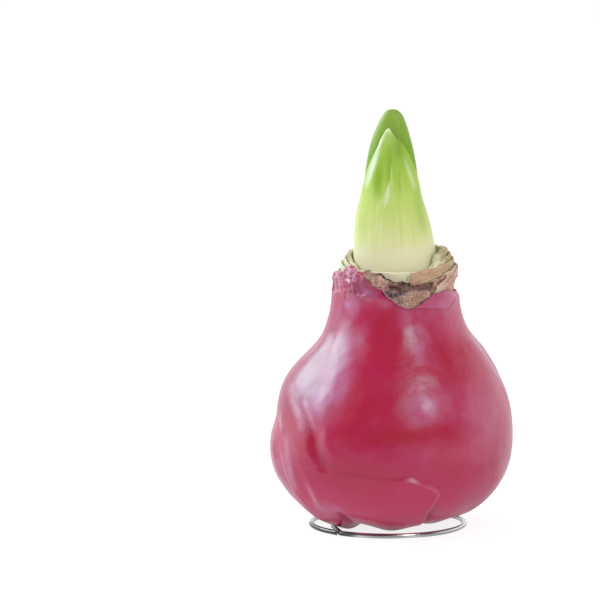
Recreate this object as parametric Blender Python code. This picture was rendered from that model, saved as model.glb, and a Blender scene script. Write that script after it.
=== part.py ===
"""Amaryllis bulb dipped in wax, sprouting, on a spiral wire stand.

Metres, +Z up. The origin is on the surface that the wire stands on, under the middle
of the bulb. The shapes are worked out in millimetres and scaled once, in make_mesh.
Azimuths are in degrees: 0 is +X, 90 is +Y (the back) and -90 is the front.
"""

import math

import bmesh
import bpy

MM = 0.001
GAP = 0.3

# Wire stand
WIRE_RADIUS = 0.95
WIRE_SIDES = 8
FOOT_RADIUS = 29.2
FOOT_CENTRE_X = -0.9
FOOT_STEPS = 60
# The free end is ground to a wedge that lies along the start of the arm
FREE_END = -130.5
WEDGE_TURN = 4.4
WEDGE_STEPS = 4
WEDGE_TIP_SHARE = 0.12
DEPARTURE = -126.0
ARM_BEND = 3.0
ARM_BEND_STEPS = 4
ARM_TURN = 44.0
ARM_STRAIGHT = 13.0
ARM_TARGET = (-2.5, 2.8)
ARM_CURVE_STEPS = 14
SPIKE_BEND = 3.2
SPIKE_BEND_STEPS = 5
SPIKE_TOP = 27.0
# Below this level share of its direction the wire is taken to stand upright
LEVEL_SHARE = 0.05

# Waxed bulb: half outline (radius, height) from the shoulder of the neck to the underside
OUTLINE = [
    (25.6, 82.0), (28.3, 74.2), (33.3, 67.0), (38.4, 59.0), (42.7, 50.0), (45.4, 40.0),
    (46.1, 31.0), (44.4, 22.5), (40.2, 15.0), (34.2, 8.9), (27.8, 5.6), (20.0, 4.8), (9.0, 5.1),
]
OUTER_STEPS = 2
INNER_STEPS = 1
WAX_THICKNESS = 1.5
NECK_BASE = 82.0
NECK_RADIUS = 24.0
NECK_FLARE = 1.6
NECK_FLARE_END = 96.0
NECK_FLARE_POWER = 1.6
NECK_SHARES = [1.0, 0.66, 0.33]
NECK_X = 1.9
BELLY_LEAN = 1.0
# Heights between which the belly's lean comes in and goes out again
LEAN_IN = (24.0, 66.0)
LEAN_OUT = (68.0, 81.0)
BULB_SIDES = 48

# Lumps of wax hanging under the bulb: (azimuth, half width, depth)
LOBES = [(-90, 26, 2.8), (-139, 13, 2.5), (-52, 12, 1.2), (5, 24, 1.4), (64, 18, 2.2), (128, 22, 1.8)]
LOBE_RADIUS = 21.5
LOBE_SPREAD = 7.5
LOBE_TOP = 10.0

# Neck: where the cut scales and the shoot stand on the body of the bulb
SEAT = 81.0
SHOULDER_EDGE = 1.0
SCALE_SIDES = 48
SCALE_LEVELS = [81.0, 87.0, 92.0]
# The rings lean out at the right, by azimuth cosine and by height
RIGHT_FLARE = 1.3
FLARE_COSINES = (0.35, 0.95)
FLARE_HEIGHTS = (91.5, 97.0)
# Heights of the rims, by azimuth
WAX_RIM = [
    (-180, 98.0), (-160, 99.6), (-144, 101.4), (-130, 100.8), (-122, 98.2), (-109, 94.4),
    (-98, 92.5), (-60, 92.8), (-52, 93.3), (-35, 92.2), (-15, 90.6), (15, 90.4),
    (60, 92.0), (110, 94.0), (150, 96.5),
]
TUNIC_RIM = [
    (-180, 98.2), (-150, 99.4), (-119, 100.2), (-100, 97.3), (-80, 95.4), (-66, 95.5),
    (-45, 97.5), (-31, 99.8), (0, 100.6), (40, 100.0), (90, 99.5), (150, 98.6),
]
OUTER_SCALE_RIM = [
    (-180, 100.6), (-150, 100.0), (-112, 99.3), (-104, 94.8), (-80, 94.8), (-72, 100.3),
    (-45, 101.0), (-15, 102.6), (15, 103.2), (60, 103.0), (120, 102.2),
]
MIDDLE_SCALE_RIM = [
    (-175, 102.8), (-140, 101.0), (-100, 100.3), (-60, 100.5), (-30, 102.0), (10, 104.8),
    (40, 105.2), (90, 105.0), (150, 103.8),
]
INNER_SCALE_RIM = [
    (-180, 104.5), (-145, 101.5), (-90, 99.5), (-30, 103.0), (10, 106.7), (40, 106.6),
    (90, 106.0), (150, 105.5),
]
# Rings of the neck from the shoot outwards:
# name, rim, inner (half width, half depth, share of the neck's flare), outer (the same)
NECK_RINGS = [
    ("scale_inner", INNER_SCALE_RIM, (16.9, 14.2, 0.0), (18.4, 16.5, 0.33)),
    ("scale_middle", MIDDLE_SCALE_RIM, (18.8, 16.9, 0.33), (19.8, 18.8, 0.66)),
    ("scale_outer", OUTER_SCALE_RIM, (20.2, 19.2, 0.66), (20.95, 20.75, 1.0)),
    ("tunic", TUNIC_RIM, (21.35, 21.15, 1.0), (22.05, 22.05, 1.0)),
]

# Torn strip of tunic that folds out over the wax at the front: (azimuth, top, bottom)
FLAP_EDGES = [
    (-102, 95.9, 94.2), (-99, 96.1, 92.2), (-92, 96.2, 89.9), (-86, 95.6, 87.9), (-80, 95.2, 87.3),
    (-75, 95.1, 87.4), (-68, 95.2, 88.7), (-60, 95.8, 91.0), (-52, 96.6, 93.6), (-44, 97.6, 95.8),
    (-36, 98.7, 97.8),
]
FLAP_FOLD = (93.5, 95.2)
FLAP_THICKNESS = 0.7
FLAP_OFF_WAX = 0.4
FLAP_COLUMNS = 22
FLAP_ROWS = 6

# Shoot: the inner leaf (half width by height) and the leaf wrapped round its front
SHOOT = [
    (81.0, 15.0), (99.0, 14.9), (109.0, 14.3), (118.0, 13.2), (127.0, 11.0), (134.0, 10.1),
    (140.0, 9.3), (146.0, 8.1), (151.0, 6.6), (155.0, 5.1), (158.0, 3.6), (159.5, 2.1),
]
SHOOT_STEPS = 4
SHOOT_TIP = 160.0
SHOOT_WAIST_X = 0.2
SHOOT_TIP_X = 0.7
# Heights over which the shoot leans to its waist, leans to its tip and flattens
WAIST_LEAN = (95.0, 128.0)
TIP_LEAN = (146.0, 160.0)
FLATTENING = (95.0, 150.0)
FRONT_DEPTH_LOW = 0.70
BACK_DEPTH_LOW = 0.88
DEPTH_HIGH = 0.62
SHOOT_SIDES = 32
INNER_TIP_LEVELS = [155.0, 157.0, 158.6, 159.6]
# Outer leaf: (height, half angle that it wraps, thickness of its rib)
OUTER_LEAF = [
    (81.0, 135.0, 2.5), (98.0, 122.0, 2.5), (110.0, 108.0, 2.5), (120.0, 95.0, 2.5), (129.0, 80.0, 2.5),
    (135.5, 67.0, 2.4), (141.0, 52.0, 2.3), (144.5, 42.0, 2.1), (148.0, 30.0, 1.8), (150.5, 18.0, 1.4),
    (152.2, 9.0, 1.1), (153.2, 2.0, 0.9),
]
LEAF_EDGE = 0.5
LEAF_KEEL_POWER = 1.8
# Heights over which the section changes from a soft rib to a keel
LEAF_KEEL = (118.0, 140.0)
LEAF_COLUMNS = 28
LEAF_LEVELS = [81.0, 91.0, 99.0, 107.0, 114.0, 121.0, 127.0, 132.0, 136.5, 140.5, 144.0,
               147.0, 149.5, 151.3, 152.5, 153.1]


def ease(low, high, value):
    """Smooth step from 0 at low to 1 at high."""
    t = min(1.0, max(0.0, (value - low) / (high - low)))
    return t * t * (3.0 - 2.0 * t)


def around(points, azimuth):
    """Value at an azimuth, eased between the points of a closed round."""
    first = points[0][0]
    angle = (azimuth - first) % 360.0 + first
    closed = points + [(first + 360.0, points[0][1])]
    for (start, low), (end, high) in zip(closed, closed[1:]):
        if angle <= end:
            return low + (high - low) * ease(start, end, angle)
    return closed[-1][1]


def read_off(table, place):
    """Values at a place, straight between the rows of a table that starts with the places."""
    for low, high in zip(table, table[1:]):
        if place <= high[0]:
            share = max(0.0, (place - low[0]) / (high[0] - low[0]))
            return [a + (b - a) * share for a, b in zip(low[1:], high[1:])]
    return list(table[-1][1:])


def smooth_line(points, steps):
    """Catmull-Rom curve through plane points, with that many steps in each span."""
    padded = [points[0]] + points + [points[-1]]
    line = []
    for a, b, c, d in zip(padded, padded[1:], padded[2:], padded[3:]):
        for step in range(steps):
            t = step / steps
            line.append(tuple(
                0.5 * (2 * q + (r - p) * t + (2 * p - 5 * q + 4 * r - s) * t ** 2
                       + (3 * q - p - 3 * r + s) * t ** 3)
                for p, q, r, s in zip(a, b, c, d)))
    line.append(points[-1])
    return line


def bulb_centre_x(height):
    """The bulb leans: its belly is left of its neck."""
    shoulder = (NECK_X + BELLY_LEAN) * ease(*LEAN_IN, height)
    return shoulder - BELLY_LEAN * ease(*LEAN_OUT, height)


def neck_radius(height):
    """Outside radius of the wax on the neck."""
    below = max(0.0, NECK_FLARE_END - height) / (NECK_FLARE_END - NECK_BASE)
    return NECK_RADIUS + NECK_FLARE * below ** NECK_FLARE_POWER


def lobe_drop(azimuth, radius):
    """How far the wax hangs below its even underside."""
    across = math.exp(-((radius - LOBE_RADIUS) / LOBE_SPREAD) ** 2)
    drop = 0.0
    for centre, half_width, depth in LOBES:
        turn = (azimuth - centre + 180.0) % 360.0 - 180.0
        drop += depth * math.exp(-((turn / half_width) ** 2))
    return drop * across


def offset_outline(distance, steps):
    """The bulb's half outline, moved inwards by a distance."""
    line = smooth_line(OUTLINE, steps)
    moved = []
    for index, (radius, height) in enumerate(line):
        before = line[max(0, index - 1)]
        after = line[min(len(line) - 1, index + 1)]
        along = (after[0] - before[0], after[1] - before[1])
        length = math.hypot(*along)
        moved.append((radius + along[1] / length * distance, height - along[0] / length * distance))
    return moved


def azimuths(sides):
    """Evenly spaced azimuths of a closed ring."""
    return [360.0 * index / sides for index in range(sides)]


def bulb_ring(radius, height, drops=False):
    """Ring of points round the bulb at one height."""
    ring = []
    for azimuth in azimuths(BULB_SIDES):
        angle = math.radians(azimuth)
        drop = lobe_drop(azimuth, radius) if drops and height < LOBE_TOP else 0.0
        centre = bulb_centre_x(height)
        ring.append((centre + radius * math.cos(angle), radius * math.sin(angle), height - drop))
    return ring


def hole_ring(height):
    """Ring round the hole that the spike of the stand goes up."""
    radius = (WIRE_RADIUS + GAP) / math.cos(math.pi / WIRE_SIDES)
    spike_x, spike_y, _ = stand_route()[-1]
    ring = []
    for azimuth in azimuths(BULB_SIDES):
        angle = math.radians(azimuth)
        ring.append((spike_x + radius * math.cos(angle), spike_y + radius * math.sin(angle), height))
    return ring


def rim_ring(inset, share):
    """Ring on the neck's wax, at a share of the way from the shoulder up to its rim."""
    ring = []
    for azimuth in azimuths(BULB_SIDES):
        angle = math.radians(azimuth)
        height = NECK_BASE + (around(WAX_RIM, azimuth) - NECK_BASE) * share
        radius = neck_radius(height) - inset
        centre = bulb_centre_x(height)
        ring.append((centre + radius * math.cos(angle), radius * math.sin(angle), height))
    return ring


def make_material(name, colour, roughness, metallic=0.0):
    """Plain Principled material."""
    material = bpy.data.materials.new(name)
    material.use_nodes = True
    shader = material.node_tree.nodes["Principled BSDF"]
    shader.inputs["Base Color"].default_value = (*colour, 1.0)
    shader.inputs["Roughness"].default_value = roughness
    shader.inputs["Metallic"].default_value = metallic
    material.diffuse_color = (*colour, 1.0)
    return material


def make_mesh(name, points, faces, material):
    """Closed object from points in millimetres, with its faces turned outwards."""
    mesh = bpy.data.meshes.new(name)
    mesh.from_pydata([(x * MM, y * MM, z * MM) for x, y, z in points], [], faces)
    shape = bmesh.new()
    shape.from_mesh(mesh)
    bmesh.ops.recalc_face_normals(shape, faces=shape.faces[:])
    shape.to_mesh(mesh)
    shape.free()
    mesh.shade_smooth()
    mesh.set_sharp_from_angle(angle=math.radians(40.0))
    mesh.materials.append(material)
    piece = bpy.data.objects.new(name, mesh)
    bpy.context.scene.collection.objects.link(piece)
    return piece


def band_faces(rings, closed):
    """Faces between successive rings; closed also joins the last ring to the first."""
    count = len(rings[0])
    pairs = [(row, row + 1) for row in range(len(rings) - 1)]
    if closed:
        pairs.append((len(rings) - 1, 0))
    faces = []
    for row, below in pairs:
        for side in range(count):
            beside = (side + 1) % count
            faces.append((row * count + side, row * count + beside,
                          below * count + beside, below * count + side))
    return faces


def make_tube(name, rings, material):
    """Ring-shaped solid: the rings run round its section and back to the start."""
    points = [point for ring in rings for point in ring]
    return make_mesh(name, points, band_faces(rings, True), material)


def make_spindle(name, first, rings, last, material):
    """Solid skinned over rings, closed by a fan to a point at each end."""
    count = len(rings[0])
    points = [point for ring in rings for point in ring] + [first, last]
    faces = band_faces(rings, False)
    start = len(rings) * count
    bottom = (len(rings) - 1) * count
    for side in range(count):
        beside = (side + 1) % count
        faces.append((start, beside, side))
        faces.append((start + 1, bottom + side, bottom + beside))
    return make_mesh(name, points, faces, material)


def make_plate(name, outer, inner, material):
    """Solid between two grids of the same size, joined round their edges."""
    rows = len(outer)
    columns = len(outer[0])
    size = rows * columns
    points = [point for grid in (outer, inner) for row in grid for point in row]
    faces = []
    for row in range(rows - 1):
        for column in range(columns - 1):
            corner = row * columns + column
            quad = (corner, corner + 1, corner + columns + 1, corner + columns)
            faces.append(quad)
            faces.append(tuple(size + index for index in reversed(quad)))
    edge = list(range(columns))
    edge += [row * columns + columns - 1 for row in range(1, rows)]
    edge += [(rows - 1) * columns + column for column in range(columns - 2, -1, -1)]
    edge += [row * columns for row in range(rows - 2, 0, -1)]
    for here, there in zip(edge, edge[1:] + edge[:1]):
        faces.append((there, here, size + here, size + there))
    return make_mesh(name, points, faces, material)


def bend(route, heading, radius, turn, steps):
    """Carry the level wire on round a right-hand bend; returns its new heading."""
    x, y, z = route[-1]
    centre = (x + radius * math.sin(math.radians(heading)), y - radius * math.cos(math.radians(heading)))
    for step in range(1, steps + 1):
        angle = math.radians(heading - turn * step / steps)
        route.append((centre[0] - radius * math.sin(angle), centre[1] + radius * math.cos(angle), z))
    return heading - turn


def stand_route():
    """Centre line of the wire: foot ring, arm that curls in under the bulb, spike."""
    start = math.radians(FREE_END)
    route = [(FOOT_CENTRE_X + FOOT_RADIUS * math.cos(start), FOOT_RADIUS * math.sin(start), WIRE_RADIUS)]
    heading = bend(route, FREE_END + 270.0, FOOT_RADIUS, WEDGE_TURN, WEDGE_STEPS)
    rest_of_foot = FREE_END + 360.0 - DEPARTURE - WEDGE_TURN
    heading = bend(route, heading, FOOT_RADIUS, rest_of_foot, FOOT_STEPS)
    heading = bend(route, heading, ARM_BEND, ARM_TURN, ARM_BEND_STEPS)
    direction = math.radians(heading)
    x, y, z = route[-1]
    route.append((x + ARM_STRAIGHT * math.cos(direction), y + ARM_STRAIGHT * math.sin(direction), z))
    across = ARM_TARGET[0] - route[-1][0]
    back = ARM_TARGET[1] - route[-1][1]
    half_turn = (heading - math.degrees(math.atan2(back, across))) % 360.0
    radius = math.hypot(across, back) / (2.0 * math.sin(math.radians(half_turn)))
    heading = bend(route, heading, radius, 2.0 * half_turn, ARM_CURVE_STEPS)
    direction = math.radians(heading)
    x, y, z = route[-1]
    for step in range(1, SPIKE_BEND_STEPS + 1):
        angle = math.radians(90.0) * step / SPIKE_BEND_STEPS
        reach = SPIKE_BEND * math.sin(angle)
        rise = SPIKE_BEND * (1.0 - math.cos(angle))
        route.append((x + reach * math.cos(direction), y + reach * math.sin(direction), z + rise))
    route.append((route[-1][0], route[-1][1], SPIKE_TOP))
    return route


def wire_section(centre, along, side, share):
    """Section of the wire, with a flat side down, narrowed to a share at the side of its bend."""
    up = (along[1] * side[2] - along[2] * side[1],
          along[2] * side[0] - along[0] * side[2],
          along[0] * side[1] - along[1] * side[0])
    reach = WIRE_RADIUS / math.cos(math.pi / WIRE_SIDES)
    section = []
    for index in range(WIRE_SIDES):
        angle = 2.0 * math.pi * (index + 0.5) / WIRE_SIDES
        across = 1.0 - (1.0 - math.cos(angle)) * share
        section.append(tuple(c + reach * (across * s + math.sin(angle) * u)
                             for c, s, u in zip(centre, side, up)))
    return section


def make_stand():
    """Foot ring, arm and spike, bent from one wire."""
    route = stand_route()
    rings = []
    side = (1.0, 0.0, 0.0)
    for index, point in enumerate(route):
        before = route[max(0, index - 1)]
        after = route[min(len(route) - 1, index + 1)]
        along = [b - a for a, b in zip(before, after)]
        length = math.sqrt(sum(value * value for value in along))
        along = [value / length for value in along]
        level = math.hypot(along[0], along[1])
        if level > LEVEL_SHARE:
            side = (-along[1] / level, along[0] / level, 0.0)
        if index == len(route) - 1 or level <= LEVEL_SHARE:
            along = (0.0, 0.0, 1.0)
        share = WEDGE_TIP_SHARE + (1.0 - WEDGE_TIP_SHARE) * min(1.0, index / WEDGE_STEPS)
        rings.append(wire_section(point, along, side, share))
    steel = make_material("steel", (0.55, 0.56, 0.57), 0.25, 1.0)
    end = tuple(sum(values) / WIRE_SIDES for values in zip(*rings[0]))
    return make_spindle("wire_stand", end, rings, route[-1], steel)


def make_wax():
    """Coat of wax, open at the neck and round the spike."""
    outer = [rim_ring(0.0, share) for share in NECK_SHARES]
    outer += [bulb_ring(radius, height, True) for radius, height in offset_outline(0.0, OUTER_STEPS)]
    underside = outer[-1][0][2]
    inner = [bulb_ring(radius, height) for radius, height in offset_outline(WAX_THICKNESS, INNER_STEPS)]
    inner_underside = inner[-1][0][2]
    inner.reverse()
    inner += [rim_ring(WAX_THICKNESS, share) for share in reversed(NECK_SHARES)]
    rings = outer + [hole_ring(underside), hole_ring(inner_underside)] + inner
    wax = make_material("wax", (0.42, 0.03, 0.09), 0.3)
    return make_tube("wax_coat", rings, wax)


def make_body():
    """Flesh of the bulb, with the spike's hole from below and a level seat at the neck."""
    line = offset_outline(WAX_THICKNESS + GAP, INNER_STEPS)
    shoulder_radius = line[0][0]
    seat = SEAT - GAP
    kept = [(radius, height) for radius, height in line if height < seat - SHOULDER_EDGE]
    rings = [bulb_ring(shoulder_radius, seat)]
    rings += [bulb_ring(radius, height) for radius, height in kept]
    underside = kept[-1][1]
    top_of_hole = SPIKE_TOP + GAP
    rings += [hole_ring(underside), hole_ring(top_of_hole)]
    flesh = make_material("flesh", (0.72, 0.66, 0.42), 0.6)
    first = (NECK_X, 0.0, seat)
    spike_x, spike_y, _ = stand_route()[-1]
    last = (spike_x, spike_y, top_of_hole)
    return make_spindle("bulb_body", first, rings, last, flesh)


def ring_radius(shape, azimuth, height, flares):
    """Radius of an upright oval face of a neck ring."""
    half_width, half_depth, share = shape
    angle = math.radians(azimuth)
    oval = half_width * half_depth / math.hypot(half_depth * math.cos(angle),
                                                half_width * math.sin(angle))
    radius = oval + share * (neck_radius(height) - NECK_RADIUS)
    if flares:
        radius += RIGHT_FLARE * ease(*FLARE_COSINES, math.cos(angle)) * ease(*FLARE_HEIGHTS, height)
    return radius


def neck_ring(shape, heights, flares):
    """Ring of points on one face of a neck ring; heights holds one height per side."""
    ring = []
    for azimuth, height in zip(azimuths(SCALE_SIDES), heights):
        angle = math.radians(azimuth)
        radius = ring_radius(shape, azimuth, height, flares)
        centre = bulb_centre_x(height)
        ring.append((centre + radius * math.cos(angle), radius * math.sin(angle), height))
    return ring


def make_neck_ring(name, rim, inner, outer, material):
    """One cut scale, or the papery tunic, standing round the shoot."""
    flares_inside = name != "scale_inner"
    top = [around(rim, azimuth) for azimuth in azimuths(SCALE_SIDES)]
    levels = [[level] * SCALE_SIDES for level in SCALE_LEVELS] + [top]
    rings = [neck_ring(outer, heights, True) for heights in levels]
    rings += [neck_ring(inner, heights, flares_inside) for heights in (levels[3], levels[2], levels[0])]
    return make_tube(name, rings, material)


def make_neck():
    """The cut scales and the tunic."""
    scale = make_material("scale", (0.45, 0.48, 0.22), 0.6)
    bark = make_material("bark", (0.33, 0.17, 0.09), 0.75)
    for name, rim, inner, outer in NECK_RINGS:
        make_neck_ring(name, rim, inner, outer, bark if name == "tunic" else scale)


def flap_radius(azimuth, height):
    """Inside radius of the torn strip: over the wax, and in to the tunic at its top."""
    tunic = ring_radius(NECK_RINGS[-1][3], azimuth, height, True)
    over_wax = neck_radius(height) + FLAP_OFF_WAX
    return over_wax + (tunic + GAP - over_wax) * ease(*FLAP_FOLD, height)


def make_flap():
    """Torn strip of tunic, pointed below and running out along the rim at its right."""
    outer = []
    inner = []
    left, right = FLAP_EDGES[0][0], FLAP_EDGES[-1][0]
    for row in range(FLAP_ROWS + 1):
        outer_row = []
        inner_row = []
        for column in range(FLAP_COLUMNS + 1):
            azimuth = left + (right - left) * column / FLAP_COLUMNS
            top, bottom = read_off(FLAP_EDGES, azimuth)
            height = top + (bottom - top) * row / FLAP_ROWS
            angle = math.radians(azimuth)
            centre = bulb_centre_x(height)
            near = flap_radius(azimuth, height)
            for row_points, radius in ((inner_row, near), (outer_row, near + FLAP_THICKNESS)):
                row_points.append((centre + radius * math.cos(angle), radius * math.sin(angle), height))
        outer.append(outer_row)
        inner.append(inner_row)
    paper = make_material("paper", (0.38, 0.22, 0.13), 0.8)
    return make_plate("tunic_flap", outer, inner, paper)


def shoot_half_width(height):
    """Half width of the inner leaf at a height."""
    line = smooth_line(SHOOT, SHOOT_STEPS)
    if height >= line[-1][0]:
        return line[-1][1] * math.sqrt(max(0.0, (SHOOT_TIP - height) / (SHOOT_TIP - line[-1][0])))
    for (low, wide), (high, narrow) in zip(line, line[1:]):
        if height <= high:
            return wide + (narrow - wide) * (height - low) / (high - low)
    return line[-1][1]


def shoot_point(azimuth, height, outwards):
    """Point at a distance outside the inner leaf's surface."""
    angle = math.radians(azimuth)
    half_width = shoot_half_width(height)
    low = BACK_DEPTH_LOW if math.sin(angle) > 0.0 else FRONT_DEPTH_LOW
    half_depth = half_width * (low + (DEPTH_HIGH - low) * ease(*FLATTENING, height))
    centre = NECK_X + (SHOOT_WAIST_X - NECK_X) * ease(*WAIST_LEAN, height)
    centre += (SHOOT_TIP_X - SHOOT_WAIST_X) * ease(*TIP_LEAN, height)
    return (centre + (half_width + outwards) * math.cos(angle),
            (half_depth + outwards) * math.sin(angle), height)


def make_inner_leaf():
    """Spear of the shoot, cut level where it stands on the bulb."""
    levels = LEAF_LEVELS[:-1] + INNER_TIP_LEVELS
    rings = [[shoot_point(azimuth, height, 0.0) for azimuth in azimuths(SHOOT_SIDES)]
             for height in levels]
    green = make_material("leaf", (0.25, 0.45, 0.07), 0.4)
    return make_spindle("leaf_inner", (NECK_X, 0.0, SEAT), rings,
                        (SHOOT_TIP_X, 0.0, SHOOT_TIP), green)


def make_outer_leaf():
    """Leaf wrapped round the front of the spear, thickest at its rib."""
    outer = []
    inner = []
    for height in LEAF_LEVELS:
        wrap, rib = read_off(OUTER_LEAF, height)
        keel = ease(*LEAF_KEEL, height)
        outer_row = []
        inner_row = []
        for column in range(LEAF_COLUMNS + 1):
            across = 2.0 * column / LEAF_COLUMNS - 1.0
            soft_rib = math.cos(math.radians(90.0) * across) ** 2
            keeled = 1.0 - abs(across) ** LEAF_KEEL_POWER
            thickness = LEAF_EDGE + (rib - LEAF_EDGE) * (soft_rib + (keeled - soft_rib) * keel)
            azimuth = -90.0 + wrap * across
            inner_row.append(shoot_point(azimuth, height, GAP))
            outer_row.append(shoot_point(azimuth, height, GAP + thickness))
        outer.append(outer_row)
        inner.append(inner_row)
    green = make_material("leaf_front", (0.32, 0.5, 0.09), 0.4)
    return make_plate("leaf_outer", outer, inner, green)


def clear_scene():
    """Remove what a new file holds."""
    for piece in list(bpy.data.objects):
        bpy.data.objects.remove(piece)


def build():
    """Every piece, where it rests."""
    clear_scene()
    make_stand()
    make_wax()
    make_body()
    make_neck()
    make_flap()
    make_inner_leaf()
    make_outer_leaf()


build()
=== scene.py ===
"""Looks of the waxed amaryllis bulb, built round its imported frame.

Shapes are worked out in millimetres, in the frame's axes, and scaled once in add_piece.
Azimuths are in degrees: 0 is +X, 90 is +Y (the back) and -90 is the front.
"""

import math
from functools import cached_property, reduce
from itertools import product

import bpy
import numpy as np
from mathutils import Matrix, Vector


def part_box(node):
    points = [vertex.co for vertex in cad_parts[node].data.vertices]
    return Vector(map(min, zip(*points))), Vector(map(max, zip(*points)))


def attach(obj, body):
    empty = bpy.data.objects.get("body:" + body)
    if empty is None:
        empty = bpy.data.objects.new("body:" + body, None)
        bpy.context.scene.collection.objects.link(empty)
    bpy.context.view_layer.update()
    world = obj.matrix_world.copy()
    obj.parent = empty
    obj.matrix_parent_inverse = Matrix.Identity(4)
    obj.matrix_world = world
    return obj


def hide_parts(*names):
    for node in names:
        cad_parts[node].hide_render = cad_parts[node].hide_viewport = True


MM = 0.001

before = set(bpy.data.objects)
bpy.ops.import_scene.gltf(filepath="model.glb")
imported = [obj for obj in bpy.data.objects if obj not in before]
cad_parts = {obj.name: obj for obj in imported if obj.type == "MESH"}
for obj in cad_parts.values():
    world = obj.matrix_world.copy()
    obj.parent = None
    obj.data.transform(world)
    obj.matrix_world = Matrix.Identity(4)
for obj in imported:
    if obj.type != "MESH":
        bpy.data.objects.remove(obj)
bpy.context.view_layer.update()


def node_box(name):
    """Lowest and highest corner of a CAD node, in millimetres."""
    low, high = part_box(name)
    return np.array(low) / MM, np.array(high) / MM


# Driving sizes, from the frame
WAX_LOW, WAX_HIGH = node_box("wax_coat")
SPEAR_LOW, SPEAR_HIGH = node_box("leaf_inner")
BELLY = (WAX_HIGH[1] - WAX_LOW[1]) / 2
NECK_X = (SPEAR_LOW[0] + SPEAR_HIGH[0]) / 2
SEAT, SHOOT_TIP = SPEAR_LOW[2], SPEAR_HIGH[2]
LEAF_TIP = node_box("leaf_outer")[1][2] + 0.1
SPIKE_TOP = node_box("wire_stand")[1][2]

# Bulb: half outline, from the top of its neck down, as (share of the belly's radius, height)
OUTLINE = [
    (0.521, 104), (0.520, 98), (0.519, 93), (0.524, 88), (0.537, 83.5), (0.563, 79),
    (0.614, 74.2), (0.722, 67), (0.833, 59), (0.926, 50), (0.985, 40), (1, 31),
    (0.963, 22.5), (0.872, 15), (0.742, 8.9), (0.603, 5.6), (0.434, 4.8), (0.195, 5.1),
]
OUTLINE_STEPS = 12
NECK_BASE = 82
NECK_RADIUS = 24
BELLY_LEAN = 1
WAX_THICKNESS = 1.5
# Lobes that hang below: (azimuth, half width in degrees, depth), round a circle
LOBES = [
    (-90, 21, 2.9), (-135, 9.5, 3.1), (-50, 11, 1.3), (5, 24, 1.4), (64, 18, 2.2), (128, 22, 1.8),
    (176, 14, 0.8), (-152, 12, 1.5),
]
LOBE_RADIUS = 21.5
LOBE_SPREAD = 7.5
# Grid of the wax: (first azimuth, last azimuth, columns), closest together on its folded side
WAX_COLUMNS = [(-195, 5, 270), (5, 165, 130)]
NECK_ROWS, BELLY_ROWS = 46, 170
INNER_NECK_ROWS, INNER_BELLY_ROWS = 8, 16
# Rows over its rim: (way inwards, more where thick, share of the curl, rise)
LIP_ROWS = [(0.15, 0.2, 0.4, 0.14), (0.5, 0.4, 1, 0.14), (0.85, 0.5, 1, -0.12)]

# Rims of the neck: height by azimuth
WAX_RIM = [
    (-180, 97.6), (-160, 98.4), (-148, 99.8), (-140, 102), (-133, 100.6), (-126, 99.8),
    (-120, 97.2), (-109, 94.2), (-98, 92.5), (-60, 92.4), (-52, 91.7), (-42, 91.8), (-30, 92),
    (-15, 90.9), (15, 90.4), (60, 92), (110, 94), (150, 96.5),
]
TUNIC_RIM = [
    (-180, 98.2), (-150, 99), (-126, 100.6), (-119, 101), (-114, 100.2), (-106, 100.2),
    (-99, 98), (-92, 96.9), (-84, 97.2), (-79, 96.4), (-72, 95.9), (-66, 96), (-45, 97.5),
    (-31, 99.8), (0, 100.6), (40, 100), (90, 99.5), (150, 98.6),
]
OUTER_SCALE_RIM = [
    (-180, 101.4), (-150, 99.4), (-112, 98.6), (-104, 94.8), (-80, 94.8), (-74, 99.9), (-62, 100.6),
    (-45, 101), (-38, 102.3), (-15, 103), (15, 103.2), (60, 103), (120, 102.6),
]
MIDDLE_SCALE_RIM = [
    (-175, 103.2), (-158, 101.4), (-140, 99.9), (-100, 99.9), (-60, 99.9), (-46, 100.4),
    (-37, 103.4), (-27, 104.5), (10, 105), (40, 105.2), (90, 105), (150, 103.8),
]
INNER_SCALE_RIM = [
    (-180, 104.8), (-160, 101.8), (-145, 99.6), (-90, 99.2), (-45, 99.6), (-36, 101.4),
    (-27, 105.6), (-10, 106.3), (10, 106.7), (40, 106.6), (90, 106), (150, 105.5),
]
RIGHT_FLARE = 1.3
# Faces of the neck's rings: (half width, half depth, share of the neck's flare)
TUNIC_INNER = (21.35, 21.15, 1)
TUNIC_OUTER = (22.05, 22.05, 1)
SCALES = [
    ("scale_inner", INNER_SCALE_RIM, (16.9, 14.2, 0), (18.4, 16.5, 0.33)),
    ("scale_middle", MIDDLE_SCALE_RIM, (18.8, 16.9, 0.33), (19.8, 18.8, 0.66)),
    ("scale_outer", OUTER_SCALE_RIM, (20.2, 19.2, 0.66), (20.95, 20.75, 1)),
]
SCALE_COLUMNS, SCALE_ROWS = 360, 26
TUNIC_COLUMNS, TUNIC_ROWS = 480, 40

# Torn strip of tunic that folds out over the wax at the front: (azimuth, top, bottom)
FLAP_EDGES = [
    (-102, 95.9, 94.2), (-99, 96.1, 92.2), (-92, 96.2, 89.9), (-86, 95.6, 87.9), (-80, 95.2, 87.3),
    (-75, 95.1, 87.4), (-68, 95.2, 88.7), (-60, 95.8, 91), (-52, 96.6, 93.6), (-44, 97.6, 95.8),
    (-36, 98.7, 97.8),
]
# Dark stains on it: (azimuth, height, half width in degrees, half height, strength)
STAINS = [
    (-86, 93.4, 6, 1.3, 1), (-97, 92.4, 5.5, 1.9, 1), (-91, 92.6, 7, 1.4, 0.9),
    (-89, 89.8, 4, 1.8, 0.6),
]
FLAP_FOLD = (93.5, 95.2)
FLAP_THICKNESS = 0.7
FLAP_OFF_WAX = 0.4
FLAP_COLUMNS, FLAP_ROWS = 260, 80
GAP = 0.3

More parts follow.
